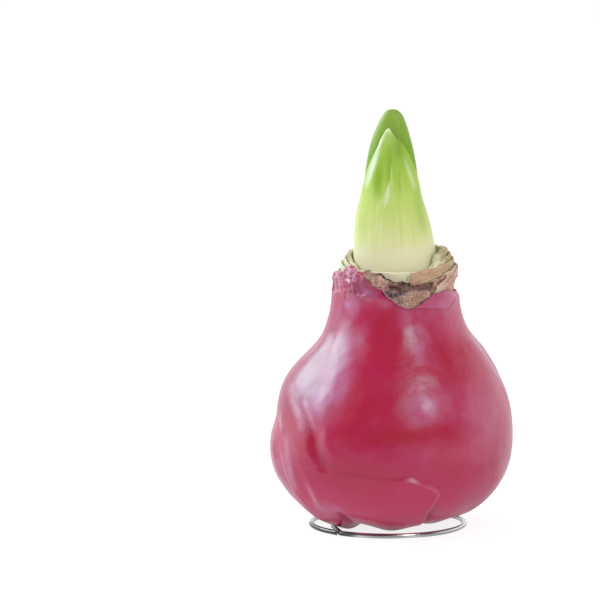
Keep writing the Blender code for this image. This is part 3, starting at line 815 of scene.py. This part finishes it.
def on_wax(line):
    """Points on the even outside of the wax, from a line of (azimuth, height)."""
    line = smooth_line(line, 4)
    outline = bulb_outline(0, 400)
    above = outline[:np.argmin(outline[:, 1]) + 1]
    height = line[:, 1]
    radius = np.interp(-height, -above[:, 1], above[:, 0])
    radius = np.where(height > NECK_BASE, neck_radius(height), radius)
    return polar(bulb_centre_x(height), radius, line[:, 0], height)


def make_wax():
    """Coat of wax, open at the neck and round the spike."""
    azimuth = wax_azimuths()
    nibble = fractal(polar(0, NECK_RADIUS, azimuth, 0), 4, 5, 3)
    rim = around(WAX_RIM, azimuth) + 0.7 * nibble
    shares = np.linspace(1, 0, NECK_ROWS)[:-1, None]
    neck_heights = NECK_BASE + (rim - NECK_BASE) * shares
    left_side = window(-172, -122, 14, unrolled(azimuth))
    thinning = 0.95 * (1 - left_side) * (1 - ease(0, 2.6, rim - neck_heights))
    neck = polar(bulb_centre_x(neck_heights), neck_radius(neck_heights) - thinning, azimuth, neck_heights)
    outline = bulb_outline(0, BELLY_ROWS)
    radius, height = outline[:, :1], outline[:, 1:]
    belly = polar(bulb_centre_x(height), radius, azimuth, height - lobe_drop(azimuth, radius, height))
    outer = np.concatenate([neck, belly])
    normals = grid_normals(outer)

    def from_fold(line):
        """(distance, side, share along) of the wax's points from a line of (azimuth, height)."""
        return line_distance(outer, normals, on_wax(line))

    raised = np.zeros(outer.shape[:2])
    crevice = np.zeros_like(raised)
    fold = np.zeros_like(raised)
    raised += 0.35 * value_noise(outer, 24, 1) + 0.2 * value_noise(outer, 9, 2)
    raised += 0.05 * value_noise(outer, 4, 3)
    raised += 0.3 * value_noise(outer * (1, 1, 0.22), 8, 4) * ease(36, 60, outer[..., 2])
    scuff = np.zeros_like(raised)
    for centre, level, half_width, half_height, depth in SWELLINGS:
        turn = turn_from(centre, azimuth)
        away = (turn / half_width) ** 2 + ((outer[..., 2] - level) / half_height) ** 2
        raised += depth * np.exp(-away)

    # main groove, with a rounded cheek on its upper side and painted shade inside
    away, side, along = from_fold(GROOVE)
    strength = ease(0, 0.55, along) * (1 - 0.75 * ease(0.8, 1, along))
    groove = bell(np.maximum(0, away - 0.3), 2.8) * strength
    raised -= 1.1 * groove
    cheek = bell(side - 5, 3.2) * bell(np.maximum(0, away - 5), 3)
    raised += 0.45 * cheek * strength
    crevice = np.maximum(crevice, bell(away + 0.8 * side, 2.6) * bell(away, 5) * strength)

    # proud flap of wax under its ledge, with painted shadow along the ledge and painted highlights on its
    # lip
    away, side, along = from_fold(LEDGE)
    below = ease(-0.3, 1, -side)
    height_here = 0.25 + 0.6 * ease(0.25, 0.6, along)
    fading = bell(away, 16)
    raised += height_here * below * fading * window(-2, 60, 4, outer[..., 2])
    lip = bell(side + 1.4, 1)
    raised += 0.2 * lip * ease(0.3, 0.5, along)
    # painted highlight on the flap's upper edge
    fold = np.maximum(fold, 0.6 * bell(side + 0.7, 0.5) * ease(0.55, 0.62, along))
    # painted contact shadow along the ledge line
    crevice = np.maximum(crevice, (1 - 0.45 * ease(0.2, 0.45, along)) * bell(side - 0.2, 0.8))
    # painted glint on the ledge's lip
    glint = bell(side + 0.7, 0.55) * bell(azimuth + 80, 2.6)
    scuff = np.maximum(scuff, 0.75 * glint)
    raised += 0.15 * glint

    for line, depth, width, is_dark in CREASES:
        away, side, along = from_fold(line)
        crease = bell(away, width) * swell(along, 0.1, 0.8, 0.5)
        raised -= depth * crease
        # painted shade inside the dark creases
        crevice = np.maximum(crevice, crease * is_dark)

    for line in RIDGES:
        away, side, along = from_fold(line)
        taper = np.sin(np.pi * np.clip(along, 0.02, 0.98)) ** 0.7
        raised += 0.65 * (bell(away, 2.3) * taper)
        # painted highlight along each ridge's crest
        fold = np.maximum(fold, 0.16 * bell(away, 1.6) * taper)

    # cloudy colour of the wax
    bent = azimuth + 5 * fractal(outer, 7, 6, 3)
    shifted = outer[..., 2] + 2.5 * fractal(outer, 6, 9, 3)
    mottle = 0.8 + 0.5 * fractal(outer, 3.5, 14, 3)
    # painted highlights in soft pale patches; the pale cloud at the back is random tone
    bloom = soft_patches(bent, shifted, PALE_PATCHES) * mottle
    # painted shade: darker crimson where the wax shows no reflection; the dark cloud at the back is random
    # tone
    deep = soft_patches(bent, shifted, DEEP_PATCHES)
    turned = (azimuth - FRONT) % 360
    behind = ease(70, 110, turned) * (1 - ease(250, 275, turned))
    cloud = fractal(outer, 20, 19, 3)
    bloom = np.maximum(bloom, 0.24 * behind * ease(0, 0.6, cloud))
    deep = np.maximum(deep, 0.8 * behind * ease(0.05, 0.45, -cloud) * ease(12, 25, outer[..., 2]))
    # plum tone, partly painted shade under the left highlight
    plum = soft_patches(bent, shifted, PLUM_PATCHES)
    # pale strokes are painted highlights on fold crests, dark strokes painted shade between them
    for strokes, shade, lift in ((PALE_STROKES, scuff, 0.25), (DARK_STROKES, deep, -0.3)):
        for line, width, strength in strokes:
            away, side, along = from_fold(line)
            stroke = strength * bell(away, width) * swell(along, 0.04, 0.92, 0.5) * mottle
            np.maximum(shade, stroke, out=shade)
            raised += lift * stroke

    # crumpled wax on the left of the neck
    crumple = left_side * ease(88.5, 92, outer[..., 2])
    raised += crumple * (0.55 * ridged(outer, 5, 11) + 0.28 * ridged(outer, 2.4, 12) - 0.3)

    outer = outer + raised[..., None] * normals

    # rounded rim, which curls over the scales on the left
    curl = 1.6 * window(-148, -128, 12, azimuth)[:, None]
    thick = left_side[:, None]
    inwards = polar(0, -1, azimuth, 0)
    lip_rows = [outer[0] + inwards * (way + more * thick + share * curl) + (0, 0, rise)
                for way, more, share, rise in LIP_ROWS]
    inner_shares = np.linspace(0.9, 0, INNER_NECK_ROWS)[:, None]
    inner_heights = NECK_BASE + (rim - NECK_BASE) * inner_shares
    inner_radius = neck_radius(inner_heights) - WAX_THICKNESS + 0.1
    inner_neck = polar(bulb_centre_x(inner_heights), inner_radius, azimuth, inner_heights)
    outline = bulb_outline(WAX_THICKNESS, INNER_BELLY_ROWS)[1:]
    inner_belly = polar(bulb_centre_x(outline[:, 1:]), outline[:, :1], azimuth, outline[:, 1:])
    grid = np.concatenate([outer[::-1], np.array(lip_rows), inner_neck, inner_belly])
    extra = grid.shape[0] - outer.shape[0]

    marks = {"crevice": crevice, "fold": fold, "crumple": crumple, "scuff": scuff, "deep": deep,
             "bloom": np.clip(bloom, 0, 1), "plum": np.clip(plum, 0, 1)}
    for key, values in marks.items():
        marks[key] = np.concatenate([values[::-1], np.repeat(values[:1], extra, axis=0)])
    add_piece("raspberry_wax_coat", "wax_coat", "wax", grid, wax_material(), **marks)


def ring_radius(shape, azimuth, height, flares=True):
    """Radius of an upright oval face of a neck ring."""
    half_width, half_depth, share = shape
    angle = np.radians(azimuth)
    oval = half_width * half_depth / np.hypot(half_depth * np.cos(angle), half_width * np.sin(angle))
    radius = oval + share * (neck_radius(height) - NECK_RADIUS)
    if flares:
        radius = radius + RIGHT_FLARE * ease(0.35, 0.95, np.cos(angle)) * ease(91.5, 97, height)
    return radius


def ring_grid(rim, inner, outer, columns, rows, seed, nibble, flares_inside=True):
    """(grid, azimuths, top heights) of a standing ring with a ragged, rounded top edge."""
    azimuth = np.linspace(-180, 180, columns, endpoint=False)
    circle = polar(0, 20, azimuth, 0)
    top = around(rim, azimuth) + nibble * fractal(circle, 3.5, seed, 4)
    shares = 1 - (1 - np.linspace(0, 1, rows)) ** 1.6
    base = SEAT + 0.1
    heights = base + (top - base) * shares[:, None]
    centre = bulb_centre_x(heights)
    outside = polar(centre, ring_radius(outer, azimuth, heights), azimuth, heights)
    inside = polar(centre, ring_radius(inner, azimuth, heights, flares_inside), azimuth, heights)
    crown = (outside[-1:] + inside[-1:]) / 2 + (0, 0, 0.18)
    return np.concatenate([outside, crown, inside[::-1]]), azimuth, top


def dryness(node, azimuth, depth_below):
    """Shares (brown, painted highlight, painted shadow) of a cut scale's surface, by azimuth and depth
    below its rim.
    """
    turned = unrolled(azimuth)
    cut = 1 - ease(0.1, 0.9, depth_below)
    if node == "scale_inner":
        left = 0.8 * window(-195, -168, 8, turned)
        return cut * (0.7 * window(-24, 70, 12, turned) + left), 0, 0
    if node == "scale_middle":
        return cut * (0.7 * window(-30, 70, 12, turned) + 0.2), 0, 0
    left_end = -78 + 1.1 * (depth_below - 2) ** 2 * 0.2
    crescent = ease(0, 2.5, turned - left_end) * (1 - ease(-26, -20, turned))
    lower = 94.9 + 2.4 * ease(-72, -35, turned) + 2.2 * ease(-45, -25, turned)
    above = around(OUTER_SCALE_RIM, azimuth) - depth_below - lower
    # painted highlight along the crescent's lower rim
    pale = crescent * window(0.4, 1.2, 0.4, above) * 0.8
    # painted shadow under the crescent and at its left end
    dark = crescent * (1 - ease(0, 0.8, above))
    dark = np.maximum(dark, 0.5 * bell(turned - left_end - 0.8, 0.9) * ease(0.2, 1, above))
    return np.maximum(crescent, cut * (0.8 * window(-22, 70, 12, turned) + 0.15)), pale, dark


def make_scales():
    """The three cut scales round the shoot."""
    material = scale_material()
    for index, (node, rim, inner, outer) in enumerate(SCALES):
        grid, azimuth, top = ring_grid(rim, inner, outer, SCALE_COLUMNS, SCALE_ROWS, 20 + index, 0.3,
                                       index > 0)
        outwards = polar(0, 1, azimuth, 0)
        depth_below = top - grid[..., 2]
        relief = 0.16 * value_noise(grid * (1, 1, 2), 2.4, 24 + index) * ease(92, 95, grid[..., 2])
        brown, pale, dark = dryness(node, azimuth, depth_below)
        inside_rows = np.arange(grid.shape[0])[:, None] - grid.shape[0] // 2
        brown = brown * np.where(inside_rows < 0, 1, np.where(inside_rows == 0, 0.6, 0.15))
        add_piece("cut_" + node, node, "cut_scale", grid + relief[..., None] * outwards, material,
                  brown=brown, pale=pale, dark=dark, shade=window(-18, 100, 20, azimuth),
                  cream=0.8 * window(-125, -38, 16, azimuth), level=depth_below, turn=azimuth * 0.35)


def make_tunic(material):
    """Papery tunic that stands round the scales."""
    grid, azimuth, top = ring_grid(TUNIC_RIM, TUNIC_INNER, TUNIC_OUTER, TUNIC_COLUMNS, TUNIC_ROWS, 31, 0.8)
    outwards = polar(0, 1, azimuth, 0)
    free = ease(90, 93, grid[..., 2])
    crumple = 0.55 * ridged(grid * (1, 1, 1.2), 3.8, 33) + 0.35 * ridged(grid, 1.8, 34) - 0.3
    strip = np.array(FLAP_EDGES)
    strip_top = np.interp(azimuth, strip[:, 0], strip[:, 1], left=0, right=0)
    cover = np.maximum(around(WAX_RIM, azimuth) + 0.4, strip_top)
    covered = 1 - ease(-0.4, 0.8, grid[..., 2] - cover)
    crumple = np.clip(crumple, -0.1, 0.7 - 0.6 * covered)
    grid = grid + (free * crumple)[..., None] * outwards
    depth_below = top - grid[..., 2]
    scattered = fractal(grid, 2, 35, 2)
    front = window(-122, -78, 8, azimuth)
    torn = (1 - ease(0.1, 0.6, depth_below)) * (0.5 + 0.5 * scattered) * (1 - front)
    # painted shadow along the front top edge, where the tunic meets the crescent
    dark = 1 - ease(0.2, 1.5, depth_below + 1.6 * scattered)
    dark = dark * front * (0.35 + 0.65 * ease(-112, -102, azimuth))
    # painted shadow line under the crescent; the crack is a real dark crack
    seam = bell(grid[..., 2] - 95.9 - 0.045 * (azimuth + 60), 0.45) * window(-98, -38, 4, azimuth)
    crack = bell(grid[..., 2] - 96.5 - 0.16 * (azimuth + 30), 0.35) * window(-34, -5, 2, azimuth)
    red = 0.12 + 0.75 * window(-120, -60, 8, azimuth)
    tan = 0.7 * window(-126, -84, 6, azimuth) * ease(-0.25, 0.35, fractal(grid, 3, 36, 3))
    pale = 0.75 * window(-130, -114, 4, azimuth) * ease(96, 98.5, grid[..., 2])
    pale = pale * ease(-0.3, 0.2, fractal(grid, 2.2, 37, 3))
    cream = window(-58, -40, 3, azimuth) * window(91, 95, 1.2, grid[..., 2] + 0.8 * scattered)
    dark = np.maximum(np.maximum(dark, 0.7 * seam), 0.7 * crack)
    add_piece("papery_tunic", "tunic", "dry_tunic", grid, material, turn=azimuth * 0.38,
              torn=np.clip(torn, 0, 1), cream=np.maximum(cream, pale), stain=0, red=red, tan=tan,
              dark=np.clip(dark, 0, 1))


def make_flap(material):
    """Torn strip of the tunic, folded out over the wax at the front."""
    down = np.linspace(0, 1, FLAP_ROWS)[:, None]
    edges = smooth_line(FLAP_EDGES, 6)
    azimuth = np.linspace(edges[0, 0], edges[-1, 0], FLAP_COLUMNS)
    top = np.interp(azimuth, edges[:, 0], edges[:, 1])
    bottom = np.interp(azimuth, edges[:, 0], edges[:, 2])
    ragged = 0.7 * fractal(polar(0, 24, azimuth, 0), 2.8, 41, 4)
    bottom = bottom + ragged * ease(0.3, 2.5, top - bottom)
    height = top + (bottom - top) * down
    tunic = ring_radius(TUNIC_OUTER, azimuth, height)
    over_wax = neck_radius(height) + FLAP_OFF_WAX
    near = over_wax + (tunic + GAP - over_wax) * ease(*FLAP_FOLD, height)
    inner = polar(bulb_centre_x(height), near, azimuth, height)
    wrinkle = 0.95 * ridged(inner * (1, 1, 0.8), 4.2, 43) + 0.5 * ridged(inner, 1.9, 44) - 0.2
    above_edge = height - bottom
    edge = ease(0, 0.7, above_edge) * ease(0, 0.8, top - height + 0.3)
    edge = edge * ease(0, 2, azimuth - azimuth[0]) * ease(0, 2, azimuth[-1] - azimuth)
    body = FLAP_THICKNESS * (0.3 + 0.7 * edge) + wrinkle * edge
    outer = polar(bulb_centre_x(height), near + body, azimuth, height)
    wavy = azimuth + 4 * fractal(inner, 2.2, 45, 3)
    spot = soft_patches(wavy, height + 0.7 * fractal(inner, 1.8, 46, 3), STAINS)
    rim = 1 - ease(0.1, 0.6, above_edge)
    # pale torn rim on the left, where the edge catches the light: painted highlight
    torn = 0.8 * rim * (1 - ease(-84, -76, azimuth))
    # painted shadow under the flap's right edge and where it tucks in under the tunic
    dark = (1 - ease(0.3, 1.9, above_edge)) * ease(-76, -66, azimuth)
    dark = np.maximum(dark, 0.72 * ease(92.9, 94.4, height) * window(-95, -56, 5, azimuth))
    red = np.clip(0.15 + 0.85 * ease(92.5, 94.3, height) + 0.5 * ease(-68, -56, azimuth), 0, 1)
    tan = 0.85 * (1 - ease(92.3, 94, height)) * (1 - ease(-68, -58, azimuth))
    add_plate("torn_tunic_flap", "tunic_flap", "dry_tunic", outer, inner, material, turn=azimuth * 0.42,
              torn=torn, red=red, tan=tan, cream=0, stain=spot, dark=dark)

# ---- shoot ----

def shoot_half_width(height):
    """Half width of the spear at a height."""
    line = smooth_line(SHOOT, SHOOT_STEPS)
    width = np.interp(height, line[:, 0], line[:, 1])
    top_height, top_width = line[-1]
    left = np.clip((SHOOT_TIP - height) / (SHOOT_TIP - top_height), 0, 1)
    return np.where(height >= top_height, top_width * np.sqrt(left), width)


def shoot_points(azimuth, height, outwards):
    """Points at a distance outside the spear's surface."""
    angle = np.radians(azimuth)
    half_width = shoot_half_width(height)
    low = np.where(np.sin(angle) > 0, BACK_DEPTH_LOW, FRONT_DEPTH_LOW)
    half_depth = half_width * (low + (DEPTH_HIGH - low) * ease(95, 150, height))
    centre = NECK_X + (SHOOT_WAIST_X - NECK_X) * ease(95, 128, height)
    centre = centre + (SHOOT_TIP_X - SHOOT_WAIST_X) * ease(146, SHOOT_TIP, height)
    x = centre + (half_width + outwards) * np.cos(angle)
    y = (half_depth + outwards) * np.sin(angle)
    return np.stack(np.broadcast_arrays(x, y, height), axis=-1)


def make_spear():
    """Taller leaf of the shoot, behind the wrapped one."""
    azimuth = np.linspace(-180, 180, SPEAR_COLUMNS, endpoint=False)
    shares = np.linspace(0, 1, SPEAR_ROWS, endpoint=False)
    height = (SEAT + (SHOOT_TIP - SEAT) * (1 - (1 - shares) ** 1.35))[:, None]
    foot, tip = (NECK_X, 0, SEAT), (SHOOT_TIP_X, 0, SHOOT_TIP)
    stops = [(0.25, 212, 211, 172), (0.4, 200, 208, 140), (0.55, 176, 202, 96),
             (0.72, 118, 160, 34), (0.86, 124, 160, 42), (1, 138, 168, 68)]
    add_piece("spear_leaf", "leaf_inner", "leaf", shoot_points(azimuth, height, 0),
              leaf_material("spear_leaf", stops), closed=False, caps=(foot, tip), across=azimuth * 0.25,
              lush=0, pale=0)


def streaks(points, table):
    """Soft strokes over points seen from the front, one layer for each row of a table."""
    layers = []
    for start, end, width, strength in table:
        step = np.subtract(end, start)
        offset = points[..., (0, 2)] - start
        share = np.clip(offset @ step / (step @ step), 0, 1)
        away = np.linalg.norm(offset - share[..., None] * step, axis=-1)
        layers.append(strength * (bell(away, width) * swell(share, 0.03, 0.94, 0.6)))
    return layers


def make_front_leaf():
    """Leaf wrapped round the front of the spear, with a rolled margin and a crease down it."""
    down = (np.linspace(0, 1, LEAF_ROWS) ** 1.3)[:, None]
    across = np.linspace(-1, 1, LEAF_COLUMNS)
    height = LEAF_TIP - (LEAF_TIP - SEAT) * (0.0015 + 0.9985 * down)
    line = smooth_line(LEAF_WRAP, SHOOT_STEPS)
    wrap = np.interp(height, line[:, 0], line[:, 1])
    rib = LEAF_RIB_TIP + (LEAF_RIB_FOOT - LEAF_RIB_TIP) * ease(0, 0.25, down)
    soft_rib = np.cos(np.pi / 2 * across) ** 2
    keeled = 1 - np.abs(across) ** 1.8
    thickness = LEAF_EDGE + (rib - LEAF_EDGE) * (soft_rib + (keeled - soft_rib) * ease(118, 140, height))
    azimuth = FRONT + wrap * across - TIP_LEAN * ease(145, 152.5, height)
    inner = shoot_points(azimuth, height, GAP)
    rounding = np.sqrt(np.clip((1 - np.abs(across)) / 0.04, 0, 1))
    bare = shoot_points(azimuth, height, GAP + thickness)
    raised = thickness * (0.15 + 0.85 * rounding) - 0.35 * streaks(bare, LEAF_CREASE)[0]
    outer = shoot_points(azimuth, height, GAP + raised)
    tip = bell(bare[..., 2] - 153.2, 1.2)
    # painted highlights along the margin and in streaks, and a pale tip
    pale = np.maximum(*streaks(bare, MARGIN_STREAKS)) + tip * 0.8 + sum(streaks(bare, GLOSSY_STREAKS))
    # deeper green streaks, partly painted shade
    lush = sum(streaks(bare, LUSH_STREAKS))
    stops = [(0.25, 226, 220, 188), (0.31, 224, 220, 180), (0.38, 214, 216, 156),
             (0.46, 200, 210, 128), (0.54, 190, 207, 112), (0.61, 182, 204, 100),
             (0.68, 168, 197, 76), (0.75, 152, 186, 58), (0.83, 160, 192, 78),
             (0.9, 178, 202, 112)]
    add_plate("front_leaf", "leaf_outer", "leaf", outer, inner, leaf_material("front_leaf", stops),
              across=azimuth * 0.25, lush=np.clip(lush, 0, 1), pale=np.clip(pale, 0, 1))


# ---- stand ----

def bend(route, heading, radius, turn, steps):
    """Carry the level wire on round a right-hand bend; returns its new heading."""
    x, y, z = route[-1]
    centre = (x + radius * math.sin(math.radians(heading)), y - radius * math.cos(math.radians(heading)))
    for step in range(1, steps + 1):
        angle = math.radians(heading - turn * step / steps)
        route.append((centre[0] - radius * math.sin(angle), centre[1] + radius * math.cos(angle), z))
    return heading - turn


def carry_on(route, heading, moves):
    """Carry the wire on to places given as (reach, rise) from its last point."""
    x, y, z = route[-1]
    direction = math.radians(heading)
    for reach, rise in moves:
        route.append((x + reach * math.cos(direction), y + reach * math.sin(direction), z + rise))


def stand_route():
    """Centre line of the wire: foot ring, arm that curls in under the bulb, spike."""
    start = math.radians(FREE_END)
    route = [(FOOT_CENTRE_X + FOOT_RADIUS * math.cos(start), FOOT_RADIUS * math.sin(start), WIRE_RADIUS)]
    heading = bend(route, FREE_END + 270, FOOT_RADIUS, FREE_END + 360 - DEPARTURE, FOOT_STEPS)
    heading = bend(route, heading, ARM_BEND, ARM_TURN, ARM_BEND_STEPS)
    shares = [step / STRAIGHT_STEPS for step in range(1, STRAIGHT_STEPS + 1)]
    carry_on(route, heading, [(ARM_STRAIGHT * share, 0) for share in shares])
    across = ARM_TARGET[0] - route[-1][0]
    back = ARM_TARGET[1] - route[-1][1]
    half_turn = (heading - math.degrees(math.atan2(back, across))) % 360
    radius = math.hypot(across, back) / (2 * math.sin(math.radians(half_turn)))
    heading = bend(route, heading, radius, 2 * half_turn, CURL_STEPS)
    angles = [math.pi / 2 * step / SPIKE_BEND_STEPS for step in range(1, SPIKE_BEND_STEPS + 1)]
    carry_on(route, heading, [(SPIKE_BEND * math.sin(angle), SPIKE_BEND * (1 - math.cos(angle)))
                              for angle in angles])
    carry_on(route, heading, [(0, (SPIKE_TOP - route[-1][2]) * share) for share in shares])
    return np.array(route)


def make_stand():
    """Foot ring, arm and spike, bent from one wire."""
    route = stand_route()
    along = np.gradient(route, axis=0)
    along /= np.linalg.norm(along, axis=1, keepdims=True)
    side = np.zeros_like(route)
    last = np.array((1, 0, 0))
    for index, heading in enumerate(along):
        level = math.hypot(heading[0], heading[1])
        if level > LEVEL_ENOUGH:
            last = np.array((-heading[1] / level, heading[0] / level, 0))
        side[index] = last
    up = np.cross(along, side)
    angle = 2 * np.pi * np.arange(WIRE_SIDES) / WIRE_SIDES
    lengths = lengths_along(route)
    wedge = math.radians(WEDGE_TURN) * FOOT_RADIUS
    share = WEDGE_TIP_SHARE + (1 - WEDGE_TIP_SHARE) * np.clip(lengths / wedge, 0, 1)
    level = 1 - (1 - np.cos(angle)) * share[:, None]
    section = level[..., None] * side[:, None] + np.sin(angle)[:, None] * up[:, None]
    grid = route[:, None] + WIRE_RADIUS * section
    azimuth = np.degrees(np.arctan2(route[:, 1], route[:, 0] - FOOT_CENTRE_X))[:, None]
    on_foot = ease(0.6, 0.9, np.hypot(route[:, 0], route[:, 1])[:, None] / FOOT_RADIUS)
    # painted dark reflections on two arcs of the foot ring
    stain = 0.9 * on_foot * (window(-172, -116, 7, azimuth) + 0.8 * window(28, 70, 9, azimuth))
    # painted highlights on the foot ring's front
    bright = on_foot * (bell(azimuth + 110, 6) + bell(azimuth + 73, 7))
    add_piece("steel_wire_stand", "wire_stand", "steel_wire", grid, steel_material(), closed=False,
              caps=(grid[0].mean(axis=0), route[-1]), along=lengths[:, None], stain=stain,
              bright=np.clip(bright, 0, 1), turn=np.cos(angle) * 3)


# ---- studio ----

def aim(item, target):
    """Turn a lamp or camera to a point."""
    item.rotation_euler = (Vector(target) - item.location).to_track_quat("-Z", "Y").to_euler()


def make_camera():
    """Long lens, so that lines hardly converge."""
    lens = bpy.data.cameras.new("camera")
    lens.lens = lens.sensor_width * VIEW_DISTANCE / VIEW_WIDTH
    lens.clip_end = VIEW_DEPTH
    camera = new_object("camera", lens)
    tilt = math.radians(VIEW_ELEVATION)
    centre = Vector(VIEW_CENTRE) * MM
    camera.location = centre + Vector((0, -math.cos(tilt), math.sin(tilt))) * VIEW_DISTANCE * MM
    aim(camera, centre)
    bpy.context.scene.camera = camera


def make_softbox(name, azimuth, elevation, distance, width, height, level, tint):
    """Soft lamp: direction in degrees, sizes in metres, level as brightness seen."""
    lamp = bpy.data.lights.new(name, "AREA")
    lamp.color = tint
    lamp.shape = "ELLIPSE"
    lamp.size = width
    lamp.size_y = height
    lamp.energy = level * math.pi * (math.pi / 4 * width * height)
    softbox = new_object(name, lamp)
    turn, tilt = math.radians(azimuth), math.radians(elevation)
    across = math.cos(tilt)
    direction = Vector((across * math.cos(turn), across * math.sin(turn), math.sin(tilt)))
    softbox.location = Vector(LAMP_TARGET) + distance * direction
    aim(softbox, LAMP_TARGET)
    softbox.visible_camera = False


def make_world():
    """Even light; rays that see the background see it white, but dim on the photographer's side."""
    g = Graph("studio", "worlds")
    way = g.node("TexCoord", {}, "Generated")
    behind = g.span(g.part("Y", way), -0.45, 0.1, 0.06, 1.2)
    ceiling = g.span(g.part("Z", way), 0.4, 0.75, 1, 0.12)
    rays = [g.node("LightPath", {}, kind) for kind in ("Is Glossy Ray", "Is Transmission Ray")]
    seen = g.value("MAXIMUM", *rays)
    lit = g.node("Mix", {"Factor": seen, "A": EVEN_LIGHT, "B": g.times(behind, ceiling)})
    level = g.node("Mix", {"Factor": g.node("LightPath", {}, "Is Camera Ray"), "A": lit, "B": 1})
    bpy.context.scene.world = g.set("Background", Strength=level, Color=(1, 1, 1, 1))


def make_floor():
    """White table that the camera sees as white, apart from the object's shadow."""
    mesh = bpy.data.meshes.new("floor")
    corners = [(-1, -1), (1, -1), (1, 1), (-1, 1)]
    mesh.from_pydata([(x * FLOOR_REACH, y * FLOOR_REACH, 0) for x, y in corners], [], [(0, 1, 2, 3)])
    g = Graph("white_table")
    g.set(Base_Color=(0.86, 0.86, 0.86, 1), Roughness=0.7)
    spans = [g.span(g.part(axis, g.place), *ends) for axis, *ends in REFLECTED_LEVELS]
    level = reduce(lambda first, second: g.value("MAXIMUM", first, second), spans)
    reflected = g.node("Emission", {"Strength": level})
    in_mirror = g.node("LightPath", {}, "Is Glossy Ray")
    mirrored = g.node("MixShader", {0: in_mirror, 1: g.nodes["Principled BSDF"].outputs[0], 2: reflected})
    share = g.times(g.node("LightPath", {}, "Is Camera Ray"), GLOW_SHARE)
    mixed = g.node("MixShader", {0: share, 1: mirrored, 2: g.node("Emission", {"Strength": TABLE_GLOW})})
    mesh.materials.append(g.set("Material Output", Surface=mixed))
    floor = new_object("floor", mesh)


bpy.context.scene.view_settings.view_transform = "Standard"
make_camera()
make_world()
make_floor()
for lamp_settings in LAMPS:
    make_softbox(*lamp_settings)
make_wax()
make_scales()
paper = tunic_material()
make_tunic(paper)
make_flap(paper)
make_spear()
make_front_leaf()
make_stand()
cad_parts["bulb_body"].material_slots[0].material = flesh_material()
